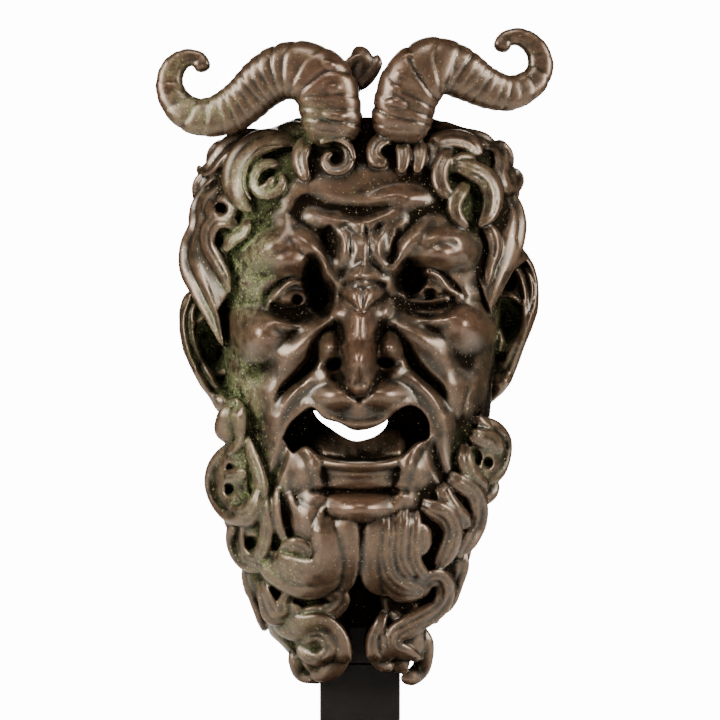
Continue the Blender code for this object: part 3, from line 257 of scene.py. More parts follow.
# %% Strokes of the face
SOFT_STROKES = [
    # Nose: its ridge, its sides and the folds at its root.
    [(1, 410, 15, 18), (1, 388, 15, 32), (0, 362, 15, 44), (-1, 336, 16, 52), (0, 316, 13, 40), (1, 306, 10, 14)],
    [(-25, 386, 6, 3), (-18, 372, 7, 6), (-13, 352, 7, 6), (-10, 334, 7, 3)],
    [(28, 384, 6, 3), (19, 370, 7, 6), (12, 352, 7, 6), (9, 334, 7, 3)],
    [(-19, 404, 5, 3), (-8, 412, 6, 5), (8, 415, 6, 5), (22, 411, 6, 5), (29, 402, 5, 3)],
    [(-40, 344, 6, 3), (-42, 330, 6, 5), (-34, 316, 6, 4)], [(41, 342, 6, 3), (42, 328, 6, 5), (34, 318, 6, 4)],
    [(-19, 322, 5, 3), (-9, 309, 6, 5), (0, 305, 6, 5), (9, 309, 6, 5), (18, 322, 5, 3)],
    # Forehead.
    [(-64, 476, 11, -2), (-50, 486, 13, -5), (-28, 482, 13, -6), (0, 477, 13, -7), (18, 479, 11, -5),
     (40, 486, 9, -2)],
    [(-22, 471, 6, 3), (-3, 465, 7, 7), (15, 469, 7, 8), (35, 478, 7, 7), (56, 489, 7, 5), (70, 492, 6, 1)],
    [(12, 486, 8, 2), (32, 492, 9, 6), (52, 495, 8, 4), (62, 492, 7, 1)],
    [(-60, 508, 12, 2), (-20, 504, 12, 1), (20, 506, 12, -2), (60, 510, 12, 0)],
    # The knots between the brows.
    [(-46, 472, 6, 2), (-27, 464, 7, 7), (-16, 450, 6, 9), (-15, 435, 6, 8), (-21, 425, 6, 3)],
    [(-84, 470, 9, 3), (-62, 456, 9, 7), (-47, 441, 8, 10), (-37, 424, 8, 10), (-24, 411, 7, 5)],
    [(-12, 458, 4, 2), (-4, 446, 5, 6), (-3, 434, 5, 6), (-10, 424, 5, 3)],
    [(-4, 466, 5, 1), (3, 450, 5, 5), (5, 434, 5, 6), (1, 420, 5, 5), (-9, 414, 5, 2)],
    [(12, 460, 6, 3), (12, 448, 7, 6), (14, 432, 6, 3)],
    [(44, 472, 5, 3), (26, 459, 6, 8), (20, 444, 6, 9), (22, 427, 6, 8), (33, 420, 6, 7), (40, 428, 5, 3)],
    [(44, 466, 4, 3), (33, 452, 5, 7), (28, 438, 4, 4)],
    [(86, 470, 7, 3), (70, 467, 7, 6), (56, 456, 7, 9), (45, 441, 7, 10), (37, 424, 7, 6)],
    # Brows and temples.
    [(-112, 412, 12, 2), (-102, 430, 12, 7), (-86, 450, 11, 8), (-74, 468, 10, 5), (-72, 496, 10, 1)],
    [(60, 444, 6, 3), (76, 454, 7, 6), (94, 451, 7, 5), (104, 440, 7, 2)],
    [(84, 466, 8, 3), (98, 456, 8, 5), (106, 440, 8, 4), (112, 418, 9, 2)],
    [(96, 396, 5, 3), (110, 395, 5, 4), (122, 394, 5, 1)],
    # Lids and bags.
    [(-90, 386, 4, 3), (-80, 398, 4, 6), (-67, 406, 4, 7), (-55, 404, 4, 5), (-48, 394, 4, 2)],
    [(-90, 384, 4, 3), (-72, 377, 4, 5), (-52, 379, 4, 3)],
    [(-98, 386, 5, 3), (-84, 372, 5, 5), (-66, 364, 6, 5), (-48, 366, 5, 2)],
    [(43, 396, 4, 3), (52, 410, 4, 6), (65, 416, 4, 7), (78, 412, 4, 7), (89, 400, 4, 6), (98, 393, 4, 3)],
    [(46, 390, 4, 3), (66, 387, 4, 5), (86, 391, 4, 4)],
    [(44, 384, 4, 2), (60, 380, 5, 4), (78, 381, 5, 4), (96, 388, 4, 2)],
    [(46, 374, 5, 2), (64, 368, 6, 5), (84, 371, 6, 4), (104, 382, 5, 2)],
    # Folds from the nose to the mouth, and cheeks.
    [(-26, 372, 8, 5), (-42, 358, 10, 12), (-56, 346, 11, 16), (-72, 332, 11, 13), (-86, 312, 11, 7),
     (-92, 285, 10, 2)],
    [(28, 364, 8, 5), (46, 358, 10, 12), (62, 350, 11, 16), (78, 338, 11, 13), (90, 318, 11, 8), (96, 285, 10, 2)],
    [(-30, 362, 7, -3), (-42, 346, 8, -11), (-47, 330, 9, -19), (-58, 316, 9, -16), (-74, 300, 9, -9),
     (-84, 280, 8, -3)],
    [(32, 360, 7, -3), (43, 344, 8, -10), (52, 328, 9, -17), (64, 314, 9, -15), (78, 300, 9, -9), (86, 282, 8, -3)],
    [(-132, 350, 10, 2), (-124, 372, 9, 5), (-106, 378, 8, 4), (-88, 370, 7, 1)],
    [(84, 376, 6, -2), (98, 384, 6, -5), (114, 380, 6, -4), (124, 368, 6, -1)],
    [(62, 302, 7, 3), (76, 286, 8, 6), (86, 266, 8, 7), (88, 240, 8, 4), (92, 218, 8, 1)],
    [(-66, 300, 7, 3), (-80, 284, 8, 5), (-88, 262, 8, 4), (-88, 240, 8, 1)],
    # Lips and chin.
    [(-34, 313, 6, 4), (-50, 309, 6, 5), (-66, 297, 6, 4), (-78, 286, 6, 2)],
    [(34, 316, 6, 4), (52, 310, 6, 6), (66, 298, 6, 5), (78, 284, 6, 2)],
    [(-25, 312, 5, -3), (-12, 300, 5, -5), (0, 292, 6, -7), (10, 300, 5, -5), (18, 311, 5, -3)],
    [(-52, 286, 5, 4), (-36, 277, 5, 5), (-20, 270, 5, 5), (0, 265, 5, 5), (18, 270, 5, 5), (36, 281, 5, 5),
     (50, 287, 5, 4)],
    [(-52, 240, 5, 3), (-34, 230, 5, 6), (0, 227, 6, 7), (34, 230, 5, 6), (52, 241, 5, 3)],
    [(-44, 201, 6, -4), (-20, 199, 6, -8), (20, 199, 6, -8), (44, 201, 6, -4)],
    [(-62, 254, 7, 8), (-48, 234, 7, 8), (-41, 214, 6, 6), (-40, 196, 6, 3)],
    [(62, 254, 7, 9), (50, 234, 7, 9), (42, 214, 6, 6), (38, 194, 6, 4), (34, 180, 6, 1)],
    [(-74, 246, 8, -4), (-80, 226, 8, -7), (-88, 204, 8, -5), (-90, 186, 7, -2)],
    [(72, 246, 8, -4), (76, 228, 8, -7), (84, 212, 8, -5), (92, 200, 7, -2)],
    [(-46, 164, 5, 3), (-26, 160, 5, 4), (0, 160, 5, 4), (26, 161, 5, 4), (42, 166, 5, 2)],
    [(-40, 153, 5, -3), (-16, 151, 6, -5), (12, 151, 6, -5), (36, 154, 5, -3)],
]
SHARP_STROKES = [
    [(-30, 462, 4, -2), (-34, 450, 5, -5), (-26, 436, 5, -4), (-22, 430, 4, -2)],
    [(5, 462, 4, -3), (8, 446, 4, -5), (8, 428, 4, -3)],
    [(38, 458, 4, -3), (34, 446, 4, -5), (34, 434, 4, -3)], [(-9, 452, 3, -3), (-9, 436, 3, -4)],
    [(-92, 392, 4, -2), (-82, 405, 4, -5), (-68, 412, 4, -5), (-54, 410, 4, -3)],
    [(44, 408, 4, -3), (60, 420, 4, -5), (78, 418, 4, -5), (94, 404, 4, -4), (104, 394, 4, -2)],
    [(-86, 386, 3, -3), (-68, 382, 3, -4), (-50, 384, 3, -3)],
    [(48, 393, 3, -3), (68, 391, 3, -4), (86, 395, 3, -3)],
    [(-96, 380, 3, -2), (-78, 371, 4, -3), (-60, 369, 4, -3)],
    [(46, 386, 3, -2), (64, 384, 4, -4), (84, 384, 4, -3)],
    [(50, 377, 4, -3), (66, 374, 4, -4), (84, 376, 4, -3)],
    [(-16, 405, 4, -3), (-4, 408, 4, -5), (8, 409, 4, -5), (24, 405, 4, -3)],
    [(-21, 394, 4, -3), (-12, 389, 4, -4), (2, 376, 4, -6), (16, 388, 4, -4), (26, 394, 4, -3)],
    [(2, 400, 4, -3), (2, 380, 4, -5)], [(-25, 370, 6, -3), (-20, 352, 7, -5), (-20, 336, 6, -3)],
    [(26, 370, 6, -3), (20, 352, 7, -5), (20, 338, 6, -3)],
    [(-20, 318, 4, -4), (-12, 309, 4, -3)], [(20, 319, 4, -4), (12, 310, 4, -3)],
    [(-36, 222, 4, -3), (0, 219, 4, -4), (38, 222, 4, -3)],
    [(-128, 330, 5, -2), (-126, 352, 5, -3)], [(-118, 300, 4, -2), (-110, 270, 4, -2)],
    [(108, 300, 4, -2), (100, 270, 4, -2)],
]
RIDGE_WIDTH, RIDGE_HEIGHT = 1.5, 0.85    # a modeller's ridge is wider and lower than its bright line
PUPILS = [(-62, 390, 7, 7, -11), (69, 396, 9, 7, -11)]
PLUGS = [(18, 174, 8, 8, -2.2), (18, 174, 6.5, 6.5, 1.6), (-33, 174, 7, 7, -2.4), (-14, 171, 4, 4, -2.5)]


THROAT_ROW, THROAT_SLOPE = 84, 50        # under the chin the head draws back behind the beard
THROAT_LEAST = 0.3


def broadened(points):
    """A ridge made wider and lower. A groove keeps its width."""
    return [(gx, gz, wide * RIDGE_WIDTH, lift * RIDGE_HEIGHT) if lift > 0 else (gx, gz, wide, lift)
            for gx, gz, wide, lift in points]


def face_lift(gx, gz):
    """All the carving of the face at once."""
    gx, gz = np.broadcast_arrays(np.atleast_1d(gx).astype(float), np.atleast_1d(gz).astype(float))
    return all_lifts(gx, gz, PADS + PUPILS + PLUGS, [broadened(points) for points in SOFT_STROKES], SHARP_STROKES)


def head_depth(gx, gz):
    """How far forward the carved head comes at a place on the grid."""
    throat = np.clip((gz - THROAT_ROW) / THROAT_SLOPE, THROAT_LEAST, 1.0)
    base = dome(gx, half_width(gz), fore_depth(gz), FACE_FULLNESS) * throat
    return base + np.clip(base / EDGE_FADE, 0.0, 1.0) * face_lift(gx, gz)


nose_depth = float(head_depth(0.0, 332.0)[0])
print(len(SOFT_STROKES) + len(SHARP_STROKES), "strokes; the nose stands", round(nose_depth), "units out")

# %% [markdown]
# ## Closed forms that are gathered in one mesh
# Every form here is closed, because closed forms can be joined into one skin later. Each starts as a grid, a
# circle or a ball from an operator, and a rule then says where its vertices go.

# %% Mesh helpers
def points_of(bm):
    return np.array([vertex.co for vertex in bm.verts])


def set_points(bm, points):
    for vertex, point in zip(bm.verts, points):
        vertex.co = point


def extruded(bm):
    """Draws a flat sheet out into a block, and gives the vertices of its new face."""
    drawn = bmesh.ops.extrude_face_region(bm, geom=bm.faces[:])
    return [item for item in drawn["geom"] if isinstance(item, bmesh.types.BMVert)]


def add_to(target, bm):
    """Puts a finished form into the mesh that gathers them, facing outwards."""
    bmesh.ops.recalc_face_normals(bm, faces=bm.faces)
    mesh = bpy.data.meshes.new("form")
    bm.to_mesh(mesh)
    bm.free()
    target.from_mesh(mesh)
    bpy.data.meshes.remove(mesh)


def new_object(name, bm):
    mesh = bpy.data.meshes.new(name)
    bm.to_mesh(mesh)
    bm.free()
    return linked(name, mesh)


def applied(obj):
    """A new mesh with the object's modifiers worked in."""
    bpy.context.view_layer.update()
    depsgraph = bpy.context.evaluated_depsgraph_get()
    return bpy.data.meshes.new_from_object(obj.evaluated_get(depsgraph), depsgraph=depsgraph)


# %% [markdown]
# ## Relief on a slab
# A face, a mane or an ear is a relief, higher in some places than in others. A grid is the right start: it is
# set between two side lines, pushed forward by a rule for the depth, and drawn back into a closed slab.
# Its columns stand closer together near the sides, where a dome turns away steeply.

# %% Slab
EDGE_ROUND = 8.0                         # units over which a slab's edge rounds off


def slab(left, right, low, high, columns, rows, depth_of, back):
    """A closed relief between two side lines, with edges rounded over the last few units."""
    bm = bmesh.new()
    bmesh.ops.create_grid(bm, x_segments=columns, y_segments=rows, size=1.0)
    co = points_of(bm)
    across, up = np.sin(co[:, 0] * math.pi / 2.0), co[:, 1]
    gz = low + (high - low) * (up + 1.0) / 2.0
    middle, half = (left(gz) + right(gz)) / 2.0, (right(gz) - left(gz)) / 2.0
    gx = middle + half * across
    edge = np.minimum((1.0 - np.abs(across)) * half, (1.0 - np.abs(up)) * (high - low) / 2.0)
    rounding = np.sqrt(np.clip(1.0 - (1.0 - np.clip(edge / EDGE_ROUND, 0.0, 1.0)) ** 2, 0.0, 1.0))
    set_points(bm, in_metres(gx, gz, depth_of(gx, gz) - EDGE_ROUND * (1.0 - rounding)))
    for vertex in extruded(bm):
        vertex.co.y = RIM_Y - back * UNIT
    return bm


# %% [markdown]
# ## The mouth
# The mouth is a deep pocket, with the water slot cut through the back of it. The pocket is sunk into the same
# rows and columns as the carving: every place inside the outline of the lips goes back to the pocket's floor.

# %% Mouth pocket
MOUTH_UPPER = [(-77, 252), (-70, 266), (-60, 276), (-47, 283), (-36, 273), (-20, 268), (-6, 261), (8, 262),
               (24, 269), (38, 281), (50, 285), (62, 279), (69, 264)]
MOUTH_LOWER = [(68, 252), (56, 247), (44, 236), (28, 231), (0, 229), (-26, 231), (-42, 236), (-54, 244), (-66, 238)]
MOUTH_DEPTH = 44
POCKET_SLOPE = 1.5                       # units over which the pocket's wall drops
# The trough that the water ran along: its middle, half width, top row, rows it climbs over, and rise.
TROUGH_CENTRE, TROUGH_HALF, TROUGH_TOP, TROUGH_RUN, TROUGH_RISE = 2, 38, 256, 26, 36
TROUGH_TILT, TROUGH_MIDDLE = 10.0, 0.45  # its sides climb sooner, and its middle is this share as high


def closed_path(corners, count):
    return smooth_path(corners + [corners[0]], count + 1)[:-1]


def inside_share(gx, gz, outline):
    """One inside the outline, nothing outside, and a short slope between."""
    inside = np.zeros(gx.shape, dtype=bool)
    edge_distance = np.full(gx.shape, 1e9)
    for (x, z), (run_x, run_z) in zip(outline, np.roll(outline, -1, axis=0) - outline):
        inside ^= ((z > gz) != (z + run_z > gz)) & (gx < run_x * (gz - z) / (run_z + 1e-12) + x)
        t = np.clip(((gx - x) * run_x + (gz - z) * run_z) / (run_x ** 2 + run_z ** 2 + 1e-12), 0, 1)
        edge_distance = np.minimum(edge_distance, np.hypot(gx - x - t * run_x, gz - z - t * run_z))
    return np.clip(np.where(inside, 1.0, -1.0) * edge_distance / POCKET_SLOPE, 0.0, 1.0)


mouth_outline = closed_path(MOUTH_UPPER + MOUTH_LOWER, 110)
mouth_floor = float(head_depth(0.0, 256.0)[0]) - MOUTH_DEPTH


def trough_rise(gx, gz):
    """A bowl that climbs from the slot to the lower lip, higher at its two sides."""
    aside = np.abs(gx - TROUGH_CENTRE) / TROUGH_HALF
    within = np.minimum(aside, 1.0)
    climb = np.clip((TROUGH_TOP - gz + TROUGH_TILT * within) / TROUGH_RUN, 0.0, 1.0)
    bowl = TROUGH_MIDDLE + (1.0 - TROUGH_MIDDLE) * within ** 2
    return TROUGH_RISE * climb * bowl * np.clip(3.2 - 2.2 * aside, 0.0, 1.0)


def head_surface(gx, gz):
    """The carved face with the pocket sunk into it, worked out only for the rows and columns of the mouth."""
    depth = head_depth(gx, gz)
    near = (gx > -85) & (gx < 80) & (gz > 220) & (gz < 295)
    floor = mouth_floor + trough_rise(gx[near], gz[near])
    depth[near] += inside_share(gx[near], gz[near], mouth_outline) * (floor - depth[near])
    return np.maximum(depth, 4.0)


casting = bmesh.new()
add_to(casting, slab(lambda gz: -half_width(gz), half_width, HEAD_BOTTOM, HEAD_TOP, 400, 520, head_surface, back=0))
print("head has", len(casting.verts), "vertices; the pocket's floor is at depth", round(mouth_floor, 1))

# %% [markdown]
# ## Rolls of wax
# Hair, beard, ears and horns are rolls of wax: a tapering tube along a path, with the strands drawn into it.
# The easy closed tube is a ball drawn out along the path: its rows become stations, and its columns go round.
# `ribs` are the strands that run along a lock, and `square` flattens the section's four sides. `collars` are the
# rings that run round a horn: ridges with a tight groove between them, saw-toothed and uneven as growth is.

# %% Roll of wax
COLLAR_STEP, COLLAR_DRIFT = 12.0, 8.0    # units between a horn's rings, and how unevenly they stand
COLLAR_WAVE, COLLAR_TILT = 23.0, 0.22    # how fast the drift changes, and how far the rings lean


def add_lock(target, points, ribs=0, rib_lift=0.10, flat=1.0, square=2.0, collars=0.0, around=26, along=64):
    """A tapering roll along (gx, gz, depth, radius) points: a ball drawn out along the path."""
    bm = bmesh.new()
    bmesh.ops.create_uvsphere(bm, u_segments=around, v_segments=along, radius=1.0)
    co = points_of(bm)
    turn = np.arctan2(co[:, 1], co[:, 0])
    share = np.arccos(np.clip(-co[:, 2], -1.0, 1.0)) / math.pi
    fine = smooth_path(points, 8 * along)
    line = fine[:, :3]
    tangent = np.gradient(line, axis=0)
    tangent /= np.linalg.norm(tangent, axis=1)[:, None] + 1e-9
    across = np.cross(tangent, np.array([0.0, 0.0, 1.0]))
    across /= np.linalg.norm(across, axis=1)[:, None] + 1e-9
    outward = np.cross(across, tangent)
    length = np.concatenate([[0.0], np.cumsum(np.linalg.norm(np.diff(line, axis=0), axis=1))])
    row = share * (len(fine) - 1)

    def at_row(column):
        return np.interp(row, np.arange(len(fine)), column)

    radius, distance = at_row(fine[:, 3]), at_row(length)
    head_end = np.clip(distance / (radius + 1e-6), 0.0, 1.0)
    tail_end = np.clip((length[-1] - distance) / (radius + 1e-6), 0.0, 1.0)
    radius = radius * np.sqrt(np.clip(1 - (1 - head_end) ** 2, 0, 1) * np.clip(1 - (1 - tail_end) ** 2, 0, 1))
    if ribs:
        wave = np.abs(np.sin(0.5 * ribs * turn))
        radius = radius * (1.0 - rib_lift * 2.0 * (1.0 - wave) ** 1.5)
    if collars:
        drift = COLLAR_DRIFT * np.sin(distance / COLLAR_WAVE) + COLLAR_TILT * radius * np.cos(turn)
        phase = (distance + drift) / COLLAR_STEP
        groove = (1.0 - np.abs(np.sin(math.pi * phase))) ** 3.0
        deeper = 0.65 + 0.35 * np.cos(2.1 * phase)
        slope = phase - np.floor(phase) - 0.5
        radius = radius * (1.0 - collars * deeper * groove + 0.5 * collars * slope * (1.0 - groove))
    power = 2.0 / square
    wide = radius * np.sign(np.cos(turn)) * np.abs(np.cos(turn)) ** power
    thick = radius * np.sign(np.sin(turn)) * np.abs(np.sin(turn)) ** power * flat
    place = [at_row(line[:, k]) + wide * at_row(across[:, k]) + thick * at_row(outward[:, k]) for k in range(3)]
    set_points(bm, in_metres(*place))
    add_to(target, bm)


def curl(centre_x, centre_z, start_radius, end_radius, start_deg, sweep_deg, lift, start_width, end_width,
         squash=1.0):
    """Points of a lock that winds about a centre. Angles run anticlockwise from the viewer's right."""
    points = []
    for t in np.linspace(0.0, 1.0, max(4, int(abs(sweep_deg) / 30) + 1)):
        angle = math.radians(start_deg + sweep_deg * t)
        reach = start_radius + (end_radius - start_radius) * t
        points.append((centre_x + reach * math.cos(angle) * squash, centre_z + reach * math.sin(angle),
                       lift, start_width + (end_width - start_width) * t))
    return points


def on_hair(points, fullness=1.0):
    """Sets (gx, gz, lift, radius) on the hair's dome."""
    return [(gx, gz, float(hair_depth(gx, gz)) + lift, radius * fullness) for gx, gz, lift, radius in points]


# %% [markdown]
# ## The hair
# The hair is short thick locks that roll back from the brow and wind into curls over the temples. Each lock is
# (gx, gz, lift from the hair's dome, radius), from its root to its tip.

# %% Hair locks
HAIR_FULLNESS_OF_LOCKS = 1.3             # the radii below are drawn this much fuller
LOCK_FLATNESS = 0.7                      # a lock's thickness over its width
HAIR = [
    # The viewer's left, from the crown down.
    [(-84, 550, -6, 8), (-72, 558, -8, 9), (-56, 556, -8, 9)],
    [(-84, 553, -4, 7), (-104, 553, -4, 9), (-126, 548, -8, 10), (-142, 533, -12, 9), (-152, 522, -14, 7),
     (-161, 521, -16, 5),
     (-164, 528, -17, 3)],
    [(-60, 546, 6, 6), (-80, 551, 6, 9), (-104, 546, 5, 11), (-121, 529, 4, 11), (-125, 506, 3, 10),
     (-119, 488, 2, 7),
     (-109, 478, 2, 4)],
    curl(-91, 509, 17, 14, 40, 340, 8, 5.5, 4),
    [(-138, 512, -8, 7), (-153, 500, -14, 8), (-163, 484, -18, 8), (-163, 464, -18, 9), (-170, 446, -22, 10),
     (-170, 424, -20, 11), (-160, 399, -16, 9), (-148, 372, -14, 6), (-138, 345, -12, 3)],
    curl(-138, 481, 12, 10, 120, 360, -2, 5, 4),
    [(-118, 458, 2, 4), (-130, 467, 1, 6), (-142, 469, -2, 7), (-151, 460, -6, 7), (-152, 446, -8, 6),
     (-144, 430, -8, 6),
     (-135, 414, -8, 5), (-130, 398, -8, 3)],
    [(-112, 474, 0, 4), (-116, 456, -1, 5), (-126, 450, -2, 5), (-134, 440, -4, 4)],
    # The viewer's right, from the crown down.
    [(66, 568, -10, 7), (84, 561, -8, 8), (102, 555, -6, 8), (122, 551, -8, 8), (136, 544, -10, 7)],
    [(66, 536, 2, 5), (74, 545, 4, 7), (92, 551, 5, 8), (108, 548, 4, 8), (119, 538, 2, 6)],
    [(100, 535, 8, 4), (90, 536, 8, 6), (81, 526, 7, 7), (79, 511, 6, 7), (84, 498, 6, 6), (92, 491, 5, 4)],
    [(92, 524, 9, 4), (102, 531, 9, 5), (113, 530, 8, 4)],
    [(84, 514, 9, 4), (98, 522, 10, 6), (112, 519, 9, 8), (126, 510, 6, 9), (132, 494, 3, 9), (129, 477, 2, 7),
     (119, 464, 1, 4)],
    [(108, 508, 9, 5), (100, 497, 8, 6), (94, 484, 6, 6), (97, 472, 4, 5), (106, 463, 2, 4)],
    [(120, 536, -2, 5), (130, 545, -4, 6), (139, 543, -6, 7), (142, 531, -7, 7), (141, 516, -8, 7),
     (148, 502, -10, 6),
     (157, 504, -13, 5), (160, 514, -14, 5), (155, 521, -13, 4), (149, 515, -12, 3)],
    [(142, 498, -8, 6), (153, 490, -12, 8), (156, 472, -14, 10), (152, 452, -15, 12), (145, 430, -15, 11),
     (137, 408, -13, 8),
     (130, 382, -10, 3)],
    [(118, 466, 0, 5), (130, 458, -3, 6), (134, 442, -6, 6), (130, 424, -6, 4), (127, 406, -6, 3)],
    # Curls on the brow.
    curl(-26, 530, 21, 5, 150, -400, 14, 6, 4),
    [(-52, 552, 8, 7), (-60, 530, 8, 7), (-54, 510, 8, 5)],
    [(40, 542, 12, 5), (28, 551, 14, 6), (15, 543, 15, 6), (14, 530, 16, 6), (23, 525, 18, 7)],
    [(40, 550, 10, 6), (43, 532, 12, 6), (41, 517, 12, 4)],
    [(56, 552, 8, 6), (59, 534, 10, 6), (56, 517, 10, 4)],
    [(70, 556, 4, 5), (72, 536, 4, 4), (68, 520, 4, 3)],
    # The tuft behind the horns.
    [(-24, 560, -10, 12), (-20, 590, -10, 10), (-9, 608, -8, 10), (-2, 624, -6, 11), (0, 636, -6, 11),
     (-4, 646, -10, 8)],
    [(-12, 604, -4, 7), (3, 611, -3, 7), (12, 620, -3, 6), (17, 630, -4, 5), (17, 638, -6, 3)],
    [(-18, 606, 2, 5), (-12, 626, 2, 5), (-2, 634, 1, 4), (8, 634, 0, 3)],
]
# Thin strands laid over the thick locks.
HAIR_STRANDS = [
    [(-100, 500, 10, 3), (-92, 503, 12, 4), (-86, 512, 12, 3)],
    [(-76, 543, 14, 1.5), (-98, 539, 16, 2), (-112, 524, 16, 2), (-115, 504, 14, 2), (-108, 488, 11, 1.5)],
    [(-120, 546, 9, 2), (-136, 533, 4, 2.5), (-148, 520, -2, 2.5), (-160, 516, -7, 2)],
    [(92, 556, 3, 2), (110, 553, 3, 2), (126, 545, 0, 2)],
    [(-40, 545, 22, 2), (-24, 549, 24, 3), (-10, 541, 24, 3), (-5, 528, 22, 2)],
    [(118, 521, 15, 1.5), (131, 508, 12, 2), (137, 492, 8, 2), (132, 474, 6, 1.5)],
]


WAVE_INSET = 9.0                         # units that the plain waves keep inside the mane's outline


def rim_locks():
    """The hidden sides: plain waves of hair and beard from the front back to the rim, clear of the ears."""
    waves = []
    for side in (-1, 1):
        for row in list(range(110, 280, 34)) + list(range(470, 560, 30)):
            reach = abs(float((mane_left if side < 0 else mane_right)(row))) - WAVE_INSET
            waves.append([(side * (reach - 6), row + 20, 44, 8), (side * (reach + 3), row + 6, 34, 12),
                          (side * (reach + 1), row - 8, 22, 13), (side * (reach - 3), row - 22, 15, 11)])
    return waves


# %% [markdown]
# ## The beard
# The beard is the same wax, in larger C and S curls that hang from the jaw and end in a row of hooks.

